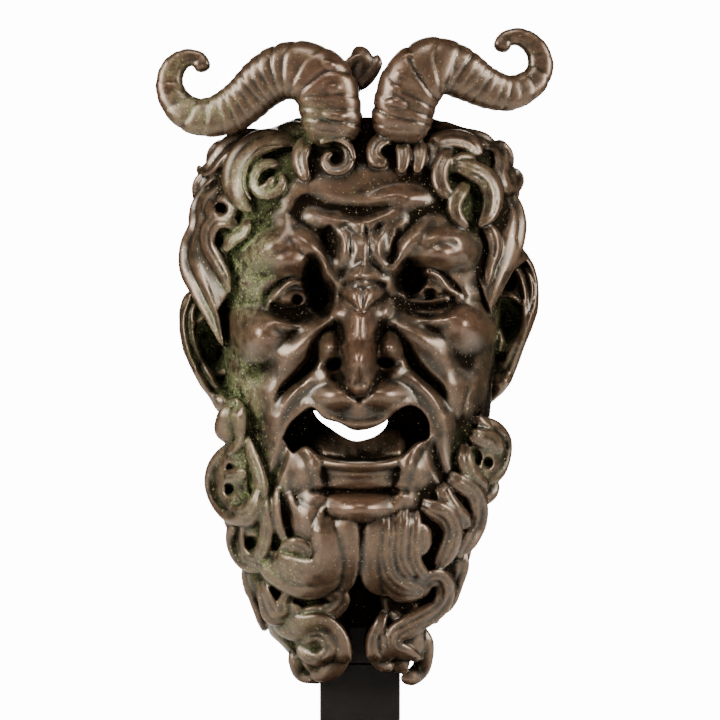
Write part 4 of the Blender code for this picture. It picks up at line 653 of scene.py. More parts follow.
# %% Beard locks
BEARD_FULLNESS_OF_LOCKS = 1.5
BEARD = [
    # The viewer's left, from the ear down.
    [(-126, 286, -8, 9), (-130, 264, -14, 12), (-132, 246, -16, 11)],
    [(-114, 246, -4, 6), (-130, 240, -12, 7), (-143, 226, -18, 7), (-147, 206, -20, 8), (-142, 187, -18, 7),
     (-128, 174, -10, 7), (-112, 175, -4, 8), (-103, 186, 0, 7), (-100, 202, 0, 5)],
    [(-142, 213, -18, 4), (-130, 213, -12, 5), (-116, 216, -8, 5)],
    [(-116, 262, -10, 2), (-109, 240, -6, 4), (-100, 215, -2, 5), (-97, 195, 0, 6)],
    [(-116, 176, -8, 6), (-125, 160, -14, 7), (-125, 142, -16, 7), (-116, 128, -12, 7), (-100, 122, -4, 7)],
    [(-92, 208, -2, 3), (-95, 184, -1, 4), (-93, 160, -1, 5), (-97, 142, -2, 5), (-104, 128, -4, 5)],
    [(-82, 212, -3, 2), (-83, 188, 0, 3), (-81, 166, 1, 3.5), (-73, 147, 1, 3)],
    [(-76, 206, -3, 2), (-66, 186, 1, 3), (-61, 168, 3, 3.5), (-62, 152, 2, 3)],
    [(-52, 200, -8, 9), (-54, 170, 0, 10), (-47, 150, 2, 9), (-40, 138, 2, 6)],
    curl(-63, 133, 15, 4, 160, -330, 10, 6, 5),
    [(-98, 142, -6, 10), (-88, 125, -2, 13), (-70, 116, 2, 14), (-52, 112, 6, 15), (-37, 117, 8, 14),
     (-28, 136, 8, 13),
     (-29, 154, 4, 14), (-32, 178, 0, 12)],
    [(-116, 132, -18, 6), (-110, 112, -18, 7), (-106, 92, -18, 6), (-99, 72, -18, 6), (-97, 54, -18, 4)],
    [(-100, 112, -4, 5), (-95, 90, -2, 6), (-86, 73, 0, 8), (-76, 74, 0, 7), (-74, 90, 0, 5), (-66, 98, 2, 4)],
    [(-46, 98, 0, 6), (-30, 98, 0, 7), (-20, 92, -2, 7), (-28, 80, -4, 7), (-46, 76, -2, 6), (-60, 74, 0, 6),
     (-66, 84, 2, 4)],
    [(-90, 78, -10, 6), (-76, 62, -4, 9), (-58, 60, 0, 10), (-38, 62, 2, 9), (-24, 48, 0, 9), (-22, 30, -2, 9),
     (-34, 16, -4, 9), (-50, 12, -6, 8)],
    [(-72, 50, -6, 6), (-56, 50, 2, 6), (-40, 52, 4, 6), (-32, 41, 4, 6), (-40, 30, 4, 6), (-54, 32, 0, 5),
     (-62, 40, -2, 4)],
    [(-66, 42, -12, 7), (-61, 27, -12, 9), (-56, 15, -12, 9), (-46, 9, -8, 6), (-40, 3, -8, 4)],
    [(-54, 38, -12, 8), (-46, 26, -10, 9), (-44, 12, -10, 6)],
    [(34, 46, -14, 8), (38, 28, -14, 9), (44, 14, -14, 6)],
    [(-60, 26, -14, 5), (-69, 22, -16, 5)],
    # The viewer's right, from the ear down.
    [(110, 272, -8, 3), (119, 269, -9, 5), (132, 262, -14, 7), (143, 250, -20, 7), (143, 232, -20, 7),
     (136, 217, -18, 7),
     (122, 208, -10, 6)],
    [(107, 258, -4, 3), (118, 253, -4, 6), (132, 248, -10, 7), (140, 236, -14, 6)],
    [(104, 246, 0, 5), (106, 226, 0, 6), (114, 212, -2, 6), (124, 200, -8, 6)],
    [(133, 212, -18, 6), (130, 198, -16, 7), (120, 189, -10, 6)],
    [(84, 220, 0, 5), (98, 208, 2, 7), (112, 200, -4, 7), (119, 184, -10, 7), (118, 166, -12, 7),
     (110, 150, -10, 7),
     (100, 136, -8, 7)],
    [(78, 210, 0, 5), (86, 192, 2, 6), (96, 176, 2, 7), (106, 166, -2, 6)],
    [(56, 190, 2, 6), (72, 182, 4, 7), (86, 174, 4, 8), (92, 158, 2, 7), (88, 142, 0, 7), (78, 124, 0, 6)],
    curl(59, 153, 13, 12, 90, 360, 8, 4, 4, 0.55),
    [(14, 192, 0, 9), (12, 156, 6, 10), (11, 130, 7, 9), (14, 111, 6, 8), (27, 99, 4, 7)],
    [(26, 192, 0, 9), (23, 156, 8, 9), (23, 132, 10, 8), (28, 114, 10, 8), (42, 101, 8, 9), (60, 98, 6, 8)],
    [(40, 192, 0, 8), (37, 154, 8, 8), (38, 130, 10, 7), (46, 114, 10, 7), (58, 107, 6, 5)],
    [(52, 190, -4, 7), (50, 152, 6, 8), (52, 128, 8, 7), (59, 115, 8, 7), (69, 110, 4, 5)],
    [(44, 96, 0, 6), (60, 98, 4, 7), (68, 110, 4, 7), (80, 111, 2, 7), (86, 98, 0, 7), (82, 84, 0, 7),
     (66, 72, 0, 8),
     (48, 62, 2, 8), (36, 54, 2, 7), (35, 42, 2, 6), (48, 35, 2, 6), (60, 27, 0, 5)],
    [(24, 78, -2, 5), (19, 62, -2, 5), (13, 50, -4, 5), (13, 34, -4, 5), (20, 24, -4, 5), (34, 20, -4, 5)],
    [(25, 62, 0, 4), (27, 46, 0, 5), (28, 30, -2, 5)],
    [(58, 62, -6, 7), (65, 46, -8, 7), (65, 30, -8, 7), (60, 15, -8, 7), (48, 8, -6, 6), (41, 9, -6, 4)],
    [(104, 142, -14, 6), (102, 122, -14, 6), (96, 104, -14, 6), (90, 88, -14, 6), (78, 74, -12, 6)],
    [(70, 72, -12, 5), (80, 68, -14, 5)], [(94, 100, -14, 4), (93, 94, -16, 4)],
    # Roots under the chin that the curls grow from.
    [(-18, 192, 0, 10), (-16, 156, 6, 11), (-15, 130, 6, 10), (-18, 112, 2, 9), (-26, 99, -4, 7)],
    [(30, 168, -6, 12), (30, 130, 0, 12), (36, 108, -4, 10)],
    [(-50, 84, -14, 14), (-50, 62, -12, 14), (-46, 36, -12, 14)],
    [(44, 84, -14, 13), (46, 62, -12, 13), (50, 32, -12, 12)],
]
print(len(BEARD), "locks of beard")

# %% [markdown]
# Under the locks lies a mane: one mass of wax over the crown, the temples and the jaw. Its outline is the hair's
# outline. It is set back behind the face, and the deep hollows between the curls are pushed into it. Then every
# lock of hair and beard is laid on it as a rounded band with a sunk root, a pointed tip and incised lines. A
# round core goes under each, so that its edges stand clear.

# %% Mane
MANE_LEFT = [(24, -66), (40, -80), (50, -92), (70, -96), (85, -103), (100, -112), (115, -116), (125, -126),
             (160, -122),
             (172, -130), (182, -139), (195, -145), (218, -146), (231, -142), (241, -134), (250, -124), (262, -128),
             (278, -135), (300, -134), (340, -138), (373, -146), (400, -160), (430, -177), (452, -173), (468, -168),
             (480, -169), (495, -167), (503, -162), (512, -155), (522, -158), (531, -148), (541, -139), (550, -128),
             (558, -104), (566, -80), (574, -60)]
MANE_RIGHT = [(24, 62), (46, 68), (60, 64), (72, 78), (83, 87), (92, 95), (101, 96), (117, 104), (134, 103),
              (154, 116),
              (170, 122), (185, 122), (198, 131), (211, 135), (222, 143), (239, 146), (253, 146), (263, 137),
              (274, 122),
              (290, 120), (340, 132), (378, 132), (416, 150), (430, 168), (445, 163), (450, 160), (470, 162),
              (488, 157),
              (494, 153), (502, 158), (508, 161), (524, 156), (530, 149), (545, 142), (554, 128), (561, 100),
              (570, 82),
              (574, 66)]
FACE_OUTLINE = [(-70, 505), (-84, 494), (-104, 466), (-120, 430), (-130, 400), (-146, 372), (-142, 296),
                (-116, 254),
                (-94, 214), (-80, 186), (-56, 164), (-30, 156), (0, 152), (30, 156), (56, 176), (78, 206),
                (98, 216),
                (112, 248), (124, 290), (136, 330), (136, 360), (124, 394), (114, 424), (106, 450), (92, 476),
                (78, 498),
                (60, 512), (20, 516), (-30, 512)]
MANE_LOW, MANE_HIGH = 26, 574
MANE_SET_BACK = 10                       # how far the mane lies behind the hair's dome
FACE_SET_BACK, MANE_LEAST_DEPTH = 40, 8.0
HOLLOWS = [
    (-33, 525, 9, 9, -20), (-91, 513, 15, 13, -14), (-118, 483, 8, 7, -20), (-138, 480, 9, 9, -24),
    (-143, 450, 9, 9, -22),
    (-126, 432, 7, 11, -22), (93, 507, 7, 7, -20), (108, 487, 9, 13, -14), (-131, 220, 8, 8, -28),
    (-131, 200, 8, 8, -28),
    (-72, 170, 8, 10, -24), (-58, 156, 6, 7, -22), (-86, 149, 7, 8, -24), (-109, 146, 11, 9, -28),
    (-118, 155, 6, 6, -22),
    (-84, 94, 9, 12, -28), (-61, 87, 8, 8, -28), (-40, 92, 7, 6, -22), (114, 232, 9, 11, -28),
    (128, 227, 6, 7, -24),
    (100, 157, 6, 6, -22), (78, 150, 10, 20, -30), (44, 110, 7, 7, -26), (70, 90, 9, 9, -28), (2, 74, 24, 62, -80),
    (2, 38, 20, 30, -60), (-134, 262, 6, 10, -12),
]
MANE_GROOVES = [
    [(-147, 507, 5, -8), (-160, 496, 5, -16), (-163, 480, 5, -18), (-155, 460, 5, -12)],
    [(-125, 442, 4, -10), (-128, 420, 5, -22), (-127, 398, 4, -12)],
    [(108, 503, 4, -8), (120, 498, 4, -16), (123, 486, 4, -16), (115, 464, 4, -8)],
    [(35, 545, 4, -12), (35, 518, 4, -12)], [(49, 546, 4, -12), (49, 518, 4, -12)],
    [(63, 548, 4, -12), (64, 518, 4, -12)],
    [(-110, 227, 4, -12), (-109, 212, 5, -20), (-108, 198, 4, -12)], [(-88, 192, 5, -12), (-92, 165, 5, -14)],
    [(-65, 166, 4, -12), (-66, 152, 4, -18), (-60, 147, 4, -10)], [(105, 187, 4, -16), (114, 177, 4, -14)],
    [(1, 146, 5, -14), (1, 124, 6, -30), (0, 96, 6, -26)],
]
mane_left, mane_right = knot_curve(MANE_LEFT, blur=4), knot_curve(MANE_RIGHT, blur=4)
face_outline = closed_path(FACE_OUTLINE, 120)


STRAND_PITCH = 7.5                       # units between the incised lines of a lock
LINE_DEPTH = 1.9
SMOOTH_FROM, SMOOTH_SHARE = 14.0, 0.25   # locks broader than this to each side have much shallower lines
LINE_FULL_WIDTH = 8.0                    # and the lines fade where a lock narrows below this
LOCK_THICKNESS = 0.78                    # a lock's rise over its half width
LOCK_LEAN = 0.26                         # one long edge stands higher, as overlapping locks do
ROOT_SHARE, TIP_SHARE, ROOT_SINK = 0.28, 0.15, 14.0
CORE_DROP, CORE_SHARE = 4.0, 0.9         # the round core under each broad lock, which gives it an underside
LAID_LOCKS = [(lock, HAIR_FULLNESS_OF_LOCKS) for lock in HAIR] + [(lock, BEARD_FULLNESS_OF_LOCKS) for lock in BEARD]


def tapered(lock, fullness):
    """The lock's path with a sunk, narrow root and a pointed tip."""
    path = smooth_path(lock, 6 * len(lock))
    share = np.linspace(0.0, 1.0, len(path))
    root, tip = np.clip(share / ROOT_SHARE, 0.0, 1.0), np.clip((1.0 - share) / TIP_SHARE, 0.0, 1.0)
    path[:, 2] -= ROOT_SINK * (1.0 - root) ** 2
    path[:, 3] *= fullness * (0.35 + 0.65 * np.sqrt(root)) * (0.4 + 0.6 * np.sqrt(tip))
    return path


def lay_lock(gx, gz, depth, lock, fullness):
    """Lays a broad lock over the relief: a rounded band with incised lines along it."""
    path = tapered(lock, fullness)
    broadest = path[:, 3].max()
    near, share, wide, lift = beside_path(gx, gz, path[:, [0, 1, 3, 2]])
    strands = np.clip(round(2.0 * broadest / STRAND_PITCH), 2, 6)
    line = (1.0 - np.abs(np.sin(0.5 * math.pi * strands * (share + 1.0)))) ** 1.6
    if broadest > SMOOTH_FROM:
        line = line * SMOOTH_SHARE
    fading = np.clip(wide / LINE_FULL_WIDTH, 0.0, 1.0) * np.clip(4.0 * (1.0 - np.abs(share)), 0.0, 1.0)
    line = line * LINE_DEPTH * fading
    rise = LOCK_THICKNESS * wide * np.sqrt(np.clip(1.0 - share ** 2, 0.0, 1.0)) + LOCK_LEAN * wide * share
    laid = hair_depth(gx[near], gz[near]) + lift + rise - line
    depth[near] = np.where(np.abs(share) < 1.0, np.maximum(depth[near], laid), depth[near])


def mane_depth(gx, gz):
    """How far forward the mane comes, with its hollows and the locks that lie on it."""
    set_back = MANE_SET_BACK + FACE_SET_BACK * inside_share(gx, gz, face_outline)
    depth = hair_depth(gx, gz) - set_back + all_lifts(gx, gz, pads=HOLLOWS, sharp=MANE_GROOVES)
    for lock, fullness in LAID_LOCKS:
        lay_lock(gx, gz, depth, lock, fullness)
    return np.maximum(depth, MANE_LEAST_DEPTH)


add_to(casting, slab(mane_left, mane_right, MANE_LOW, MANE_HIGH, 420, 620, mane_depth, back=2))
for lock, fullness in LAID_LOCKS:
    core = [(gx, gz, lift - CORE_DROP, radius) for gx, gz, lift, radius in tapered(lock, CORE_SHARE * fullness)]
    add_lock(casting, on_hair(core), flat=LOCK_FLATNESS)
for strand in HAIR_STRANDS:
    add_lock(casting, on_hair(strand), around=12)
for wave in rim_locks():
    add_lock(casting, wave, ribs=6, rib_lift=0.15)
print(len(HAIR), "locks and", len(HAIR_STRANDS), "strands of hair")

# %% [markdown]
# ## The horns
# Ram's horns, thick at the brow and hooked at the tips. They are built like the locks, with a squarer section
# and with collars of growth round them.

# %% Horns
LEFT_HORN = [(-29, 540, 96, 31), (-29, 575, 98, 31), (-39, 607, 100, 32), (-60, 618, 98, 30), (-80, 616, 94, 28),
             (-97, 606, 90, 26), (-112, 592, 86, 24), (-128, 580, 82, 23), (-150, 573, 78, 20), (-170, 576, 74, 18),
             (-184, 588, 70, 16), (-191, 606, 68, 14), (-186, 624, 68, 12), (-172, 633, 70, 9), (-160, 630, 72, 8),
             (-158, 618, 74, 10)]
RIGHT_HORN = [(42, 542, 96, 31), (43, 578, 98, 31), (56, 610, 100, 32), (74, 622, 98, 30), (89, 621, 94, 27),
              (104, 614, 90, 25), (118, 606, 86, 22), (132, 600, 82, 20), (148, 597, 78, 18), (164, 602, 74, 16),
              (177, 613, 70, 14), (181, 628, 68, 13), (174, 645, 68, 11), (158, 654, 70, 9), (144, 650, 72, 8),
              (142, 638, 74, 10)]
# Short steps across the front of each horn, where its rings have broken.
HORN_LINES = [
    [(-42, 625, 124, 4), (-30, 622, 127, 5), (-20, 621, 119, 3)],
    [(-38, 601, 126, 4), (-24, 599, 128, 5), (-12, 601, 118, 3)],
    [(-38, 574, 126, 4), (-20, 571, 128, 5), (-6, 573, 118, 3)],
    [(20, 582, 116, 3), (33, 585, 128, 5), (47, 581, 127, 4)],
    [(30, 613, 118, 3), (40, 613, 127, 5), (50, 609, 126, 4)],
    [(40, 630, 118, 3), (48, 631, 124, 4), (56, 628, 124, 3)],
    [(21, 598, 117, 3), (34, 599, 128, 3), (47, 595, 127, 3)],
]
for horn in (LEFT_HORN, RIGHT_HORN):
    add_lock(casting, horn, square=2.8, collars=0.085, around=72, along=420)
for line in HORN_LINES:
    add_lock(casting, line, around=14, along=30)
print("horns reach", round(max(point[1] + point[3] for point in RIGHT_HORN)), "rows up")

# %% [markdown]
# ## The ears
# The ears lie forward like a goat's. Each is a shell with a rolled rim, an inner fold, a cross ridge and a lobe,
# and it is deep in the middle. A shell is a relief of its own, and the strokes on it are the same tool as on
# the face. A rolled rim is added along its edge.

# %% Ears
EAR_BACK, EAR_BASE_DEPTH, EAR_LEAST_DEPTH = 14, 40, 21.0
# Each ear has its left and right side lines as (gz, gx), then its soft strokes and its pads.
EARS = [
    ([(270, -134), (280, -146), (292, -152), (303, -161), (320, -170), (340, -179), (360, -183), (380, -183),
      (394, -179), (404, -168), (410, -158)],
     [(270, -118), (290, -114), (320, -118), (360, -126), (400, -136), (410, -140)],
     [[(-158, 404, 6, 6), (-170, 396, 7, 9), (-177, 378, 7, 10), (-177, 356, 7, 10), (-172, 334, 7, 10),
       (-160, 310, 7, 9), (-150, 294, 8, 7)],
      [(-174, 392, 3, -4), (-182, 368, 3, -6), (-178, 345, 3, -6), (-168, 322, 3, -4)],
      [(-162, 392, 5, 3), (-168, 380, 5, 7), (-168, 360, 5, 8), (-162, 338, 5, 8), (-153, 320, 6, 8),
       (-144, 303, 6, 4)],
      [(-168, 364, 5, 5), (-158, 371, 5, 6), (-146, 378, 5, 3)]],
     [(-150, 345, 22, 34, -30), (-158, 388, 9, 10, -14), (-140, 311, 8, 6, -12), (-137, 288, 17, 17, 14),
      (-160, 345, 26, 70, 8)]),
    ([(288, 112), (310, 116), (350, 124), (400, 130), (450, 138)],
     [(288, 134), (296, 144), (308, 153), (328, 161), (343, 166), (362, 174), (379, 180), (395, 181),
      (412, 180), (426, 176), (439, 168), (450, 158)],
     [[(155, 444, 6, 6), (166, 434, 7, 9), (174, 414, 7, 10), (175, 392, 7, 10), (168, 362, 7, 10),
     (158, 336, 7, 9),
       (148, 310, 8, 7)],
      [(157, 439, 3, -4), (170, 422, 3, -6), (176, 402, 3, -6), (172, 380, 3, -4)],
      [(152, 430, 5, 3), (162, 412, 5, 7), (166, 394, 5, 8), (164, 372, 5, 8), (157, 352, 5, 8), (149, 334, 6, 8),
       (144, 322, 6, 4)],
      [(138, 394, 5, 5), (150, 395, 5, 8), (162, 388, 5, 5)],
      [(134, 384, 6, 4), (141, 368, 8, 12), (142, 350, 7, 10), (140, 338, 6, 4)]],
     [(150, 370, 16, 26, -30), (150, 410, 9, 12, -16), (141, 333, 8, 6, -12), (141, 306, 16, 17, 14),
      (158, 380, 26, 70, 8)]),
]


def ear_surface(marks, pads):
    """The rule for one ear's depth."""
    return lambda gx, gz: np.maximum(EAR_BASE_DEPTH + all_lifts(gx, gz, pads, marks), EAR_LEAST_DEPTH)


for left, right, marks, pads in EARS:
    add_to(casting, slab(knot_curve(left, blur=5), knot_curve(right, blur=5), left[0][0], left[-1][0], 110, 200,
                         ear_surface(marks, pads), back=EAR_BACK))
print(len(EARS), "ears")

# %% [markdown]
# ## One casting
# All the forms go under one skin, as they would in the foundry. The voxel remesh makes that skin, the hollow
# and the slot are cut from the back, and the count of triangles is brought down.

# %% One skin
VOXEL = 0.00092
SKIN_TRIANGLES = 184000


def keep_largest_body(bm):
    """Drops the specks that the one-skin step leaves sealed inside the casting."""
    unseen, bodies = set(bm.verts), []
    while unseen:
        body, edge = set(), [unseen.pop()]
        while edge:
            vertex = edge.pop()
            body.add(vertex)
            for neighbour in (link.other_vert(vertex) for link in vertex.link_edges):
                if neighbour in unseen:
                    unseen.remove(neighbour)
                    edge.append(neighbour)
        bodies.append(body)
    largest = max(bodies, key=len)
    specks = [vertex for body in bodies if body is not largest for vertex in body]
    bmesh.ops.delete(bm, geom=specks, context="VERTS")
    return len(bodies)


forms = new_object("joined_forms", casting)
skin = forms.modifiers.new("one skin", "REMESH")
skin.mode = "VOXEL"
skin.voxel_size = VOXEL
skin.adaptivity = 0.0
one_skin = bmesh.new()
one_skin.from_mesh(applied(forms))
bpy.data.objects.remove(forms, do_unlink=True)
count = keep_largest_body(one_skin)
skin_object = new_object("skin_form", one_skin)
print("skin has", len(skin_object.data.polygons), "faces;", count - 1, "specks dropped")

fewer = skin_object.modifiers.new("fewer triangles", "DECIMATE")
fewer.ratio = min(1.0, SKIN_TRIANGLES / (2 * len(skin_object.data.polygons)))
skin_mesh = applied(skin_object)
bpy.data.objects.remove(skin_object, do_unlink=True)
print("and", len(skin_mesh.polygons), "triangles after thinning")

# %% [markdown]
# The hollow follows the face from inside, a wall's thickness behind it. Around the mouth the bronze stays thick,
# because the pocket has to have a back.

# %% Hollow and slot
HOLLOW_COLUMNS, HOLLOW_ROWS = 44, 70
HOLLOW_MARGIN, HOLLOW_BACK = 14, -20
HOLLOW_EDGE = 7.0                        # the hollow's ends round off over one seventh of its half height
HOLLOW_END_WIDTH, HOLLOW_END_DEPTH = 0.35, 0.15      # and shrink to these shares of their width and depth
MOUTH_BLOCK = (0, 258, 118, 44)          # thick bronze round the mouth: middle, half width and half height
MOUTH_BLOCK_DEPTH, MOUTH_BLOCK_BLEND = 52, 0.3
SLOT = [(-47, 279), (-30, 281), (0, 282), (26, 280), (27, 266), (20, 257), (8, 251), (-6, 249), (-18, 254),
        (-30, 262),
        (-42, 271)]
SLOT_BACK, SLOT_OVERLAP = 10, 16


def mouth_blend(gx, gz):
    """One over the block around the mouth, falling smoothly to nothing outside it."""
    centre_x, centre_z, wide, high = MOUTH_BLOCK
    reach = np.maximum(np.abs(gx - centre_x) / wide, np.abs(gz - centre_z) / high)
    return np.clip((1.0 - reach) / MOUTH_BLOCK_BLEND, 0.0, 1.0)


def shrunk(least, share):
    return least + (1.0 - least) * share


def hollow_form():
    """The head's own form, drawn in by the wall."""
    wall = WALL / UNIT
    bm = bmesh.new()
    bmesh.ops.create_grid(bm, x_segments=HOLLOW_COLUMNS, y_segments=HOLLOW_ROWS, size=1.0)
    co = points_of(bm)
    low, high = HEAD_BOTTOM + HOLLOW_MARGIN, HEAD_TOP - HOLLOW_MARGIN
    gz = low + (high - low) * (co[:, 1] + 1.0) / 2.0
    edge_round = np.clip((1.0 - np.abs(co[:, 1])) * HOLLOW_EDGE, 0.0, 1.0) ** 0.5
    gx = co[:, 0] * (half_width(gz) - 1.5 * wall) * shrunk(HOLLOW_END_WIDTH, edge_round)
    nearest = np.full(len(gx), 1e9)
    for step_x in (-1.0, 0.0, 1.0):
        for step_z in (-1.0, 0.0, 1.0):
            nearest = np.minimum(nearest, head_depth(gx + step_x * wall, gz + step_z * wall))
    depth = nearest - 1.1 * wall - MOUTH_BLOCK_DEPTH * mouth_blend(gx, gz)
    set_points(bm, in_metres(gx, gz, np.maximum(depth * shrunk(HOLLOW_END_DEPTH, edge_round), 0.0)))
    for vertex in extruded(bm):
        vertex.co.y = RIM_Y - HOLLOW_BACK * UNIT
    bmesh.ops.recalc_face_normals(bm, faces=bm.faces)
    return bm


def prism(outline, back, front):
    """A closed block whose front view is the outline."""
    path = closed_path(outline, 6 * len(outline))
    bm = bmesh.new()
    bmesh.ops.create_circle(bm, cap_ends=True, segments=len(path), radius=1.0)
    set_points(bm, in_metres(path[:, 0], path[:, 1], np.full(len(path), float(front))))
    bmesh.ops.translate(bm, verts=extruded(bm), vec=(0.0, (front - back) * UNIT, 0.0))
    bmesh.ops.recalc_face_normals(bm, faces=bm.faces)
    return bm


def seat_form(low, high):
    """A box that is larger than a limb of the cradle by the contact gap."""
    bm = bmesh.new()
    bmesh.ops.create_cube(bm, size=1.0)
    for vertex in bm.verts:
        vertex.co = [low[k] - CONTACT_GAP if vertex.co[k] < 0.0 else high[k] + CONTACT_GAP for k in range(3)]
    return bm


# The cradle touches the bronze in two places, and the bronze is let in there by the contact gap.
CRADLE_THICKNESS, CRADLE_WIDTH = 0.008, 0.020
BAR_WIDTH, ARM_THICKNESS, BAR_DEPTH, SEAT_ROW = 0.050, 0.008, 0.012, 64
cradle_low, cradle_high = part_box("cradle")
beard_seat = ((-CRADLE_WIDTH / 2, RIM_Y - CRADLE_THICKNESS, cradle_low.z),
              (CRADLE_WIDTH / 2, cradle_high.y, GRID_ZERO_Z + SEAT_ROW * UNIT))
mouth_seat = ((-BAR_WIDTH / 2, cradle_low.y, cradle_high.z - ARM_THICKNESS),
              (BAR_WIDTH / 2, cradle_low.y + BAR_DEPTH, cradle_high.z))

mask = linked("satyr_mask", skin_mesh)
cutters = [new_object("hollow_cutter", hollow_form()),
           new_object("slot_cutter", prism(SLOT, SLOT_BACK, mouth_floor + SLOT_OVERLAP)),
           new_object("beard_seat_cutter", seat_form(*beard_seat)),
           new_object("mouth_seat_cutter", seat_form(*mouth_seat))]
for cutter in cutters:
    cut = mask.modifiers.new(cutter.name, "BOOLEAN")
    cut.operation, cut.solver, cut.object = "DIFFERENCE", "EXACT", cutter
mask_mesh = applied(mask)
bpy.data.objects.remove(mask, do_unlink=True)
for cutter in cutters:
    bpy.data.objects.remove(cutter, do_unlink=True)
mask = linked("satyr_mask", mask_mesh)
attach(mask, "root")
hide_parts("mask")
print("mask has", sum(len(face.vertices) - 2 for face in mask_mesh.polygons), "triangles")

# %% [markdown]
# ## Which places are deep and which are worn
# On real bronze the green stays in the hollows, and hands and cloths keep the ridges bright. So each vertex
# gets two numbers. The mesh is smoothed by averaging neighbours, and how far a vertex stands above or below the
# smoothed skin says whether it is a ridge or a hollow. A few rounds find the fine marks, and many find the
# deep ones.

# %% Relief numbers
FINE_ROUNDS, DEEP_ROUNDS = 6, 60
FULL_RIDGE, FULL_RECESS, FULL_GROOVE = 0.00035, 0.0014, 0.00030      # metres of relief that count as one


def read_all(items, key, wide=3, kind=np.float32):
    """One value of every item of a mesh, a row for each."""
    values = np.empty(len(items) * wide, dtype=kind)
    items.foreach_get(key, values)
    return values.reshape(-1, wide)


def relief_of(mesh, rounds):
    """Signed height of each vertex above the skin smoothed over so many rounds, in metres."""
    count = len(mesh.vertices)
    co, normals = read_all(mesh.vertices, "co").astype(float), read_all(mesh.vertex_normals, "vector")
    a, b = read_all(mesh.edges, "vertices", 2, np.int32).T
    near = np.maximum(np.bincount(a, minlength=count) + np.bincount(b, minlength=count), 1)
    smooth = co.copy()
    for _ in range(rounds):
        smooth = np.stack([np.bincount(a, smooth[b, k], count) + np.bincount(b, smooth[a, k], count)
                           for k in range(3)], axis=1) / near[:, None]
    return ((co - smooth) * normals).sum(axis=1)


fine_relief = relief_of(mask_mesh, FINE_ROUNDS)
deep_relief = relief_of(mask_mesh, DEEP_ROUNDS)
ridge = np.clip(fine_relief / FULL_RIDGE, 0.0, 1.0)
# The hollow number serves the patina and also painted shade: the bronze is darkened to near black where it is high.
recess = np.clip(-deep_relief / FULL_RECESS, 0.0, 1.0)
groove = np.clip(-fine_relief / FULL_GROOVE, 0.0, 1.0)
co = read_all(mask_mesh.vertices, "co")
place_x, place_z, depth_now = co[:, 0] / UNIT, (co[:, 2] - GRID_ZERO_Z) / UNIT, (RIM_Y - co[:, 1]) / UNIT
# Where the green has taken: mostly the viewer's left, at the hairline, temple, cheek's edge, beard and horn.
GREEN_PLACES = [(-112, 430, 40, 80, 1.7), (-120, 300, 34, 70, 1.3), (-112, 210, 46, 60, 0.8),
                (-90, 130, 50, 50, 0.7),
                (-60, 560, 50, 40, 0.6), (-160, 580, 50, 40, 0.8), (-185, 620, 24, 24, 0.8),
                (-160, 350, 34, 70, 0.7),
                (-62, 60, 40, 60, 0.5), (110, 500, 40, 50, 0.5), (148, 360, 26, 60, 0.5), (120, 230, 40, 50, 0.35),
                (-100, 510, 46, 46, 1.2)]
green = np.clip(all_lifts(place_x, place_z, GREEN_PLACES), 0.0, 1.2)
# Where handling has left the metal redder: nose, forehead, cheeks, lips, horns.
RED_PLACES = [(0, 500, 90, 40, 0.7), (0, 350, 36, 70, 1.0), (-70, 440, 40, 30, 0.5), (76, 440, 40, 30, 0.6),
              (0, 190, 60, 40, 0.6), (104, 360, 40, 40, 0.7), (-100, 350, 34, 34, 0.4), (50, 600, 60, 70, 0.7),
              (-30, 600, 50, 60, 0.7), (-190, 610, 22, 34, 0.8), (0, 290, 60, 22, 0.4)]
red = np.clip(all_lifts(place_x, place_z, RED_PLACES), 0.0, 1.2)
# Painted shade where no lamp reaches: inside the mouth, the eyes' inner corners, the gap in the beard. It is added
# to the hollow number, which the bronze darkens to near black.
PAINTED_SHADE_PLACES = [(-50, 256, 36, 34, 1.6), (54, 266, 26, 26, 1.6), (0, 270, 56, 16, 1.0), (-40, 406, 20, 38, 2.0),
               (52, 416, 20, 16, 1.4), (2, 66, 24, 90, 3.0)]
painted_shade = np.clip(all_lifts(place_x, place_z, PAINTED_SHADE_PLACES), 0.0, 1.0)
deep_enough = np.clip((hair_depth(place_x, place_z) - 2.0 - depth_now) / 10.0, 0.0, 1.0)
# Painted shade: these places darken like the deepest hollows, where the face is sunk deep enough.
recess = np.maximum(recess, painted_shade * deep_enough)
for name, values in (("ridge", ridge), ("recess", recess), ("groove", groove), ("green", green), ("red", red)):
    stored = mask_mesh.attributes.new(name, "FLOAT", "POINT")
    stored.data.foreach_set("value", np.asarray(values, dtype=np.float32))
    print(name, "mean", round(float(np.mean(values)), 3))
for polygon in mask_mesh.polygons:
    polygon.use_smooth = True

# %% [markdown]
# ## Bronze with its patina
# The metal is a dark chocolate brown, redder where it is rubbed, and its hollows are painted nearly black as shade.
# Over it lies thin green, as verdigris in the grooves. The surface is waxed, so it has a soft gloss with sharp
# highlights.

# %% Shader helpers
def colour(text):
    """A linear RGBA colour from an sRGB hex text."""
    values = [int(text[k:k + 2], 16) / 255.0 for k in (1, 3, 5)]
    return tuple(v / 12.92 if v <= 0.04045 else ((v + 0.055) / 1.055) ** 2.4 for v in values) + (1.0,)


def add_node(tree, kind, settings=None, **inputs):
    """A node with its inputs set or linked. Input names use _ for a space, and i0, i1 stand for numbered ones."""
    node = tree.nodes.new(kind)
    for name, value in (settings or {}).items():
        setattr(node, name, value)
    for name, value in inputs.items():
        numbered = name[0] == "i" and name[1:].isdigit()
        socket = node.inputs[int(name[1:]) if numbered else name.replace("_", " ")]
        if isinstance(value, bpy.types.NodeSocket):
            tree.links.new(value, socket)
        else:
            socket.default_value = value
    return node


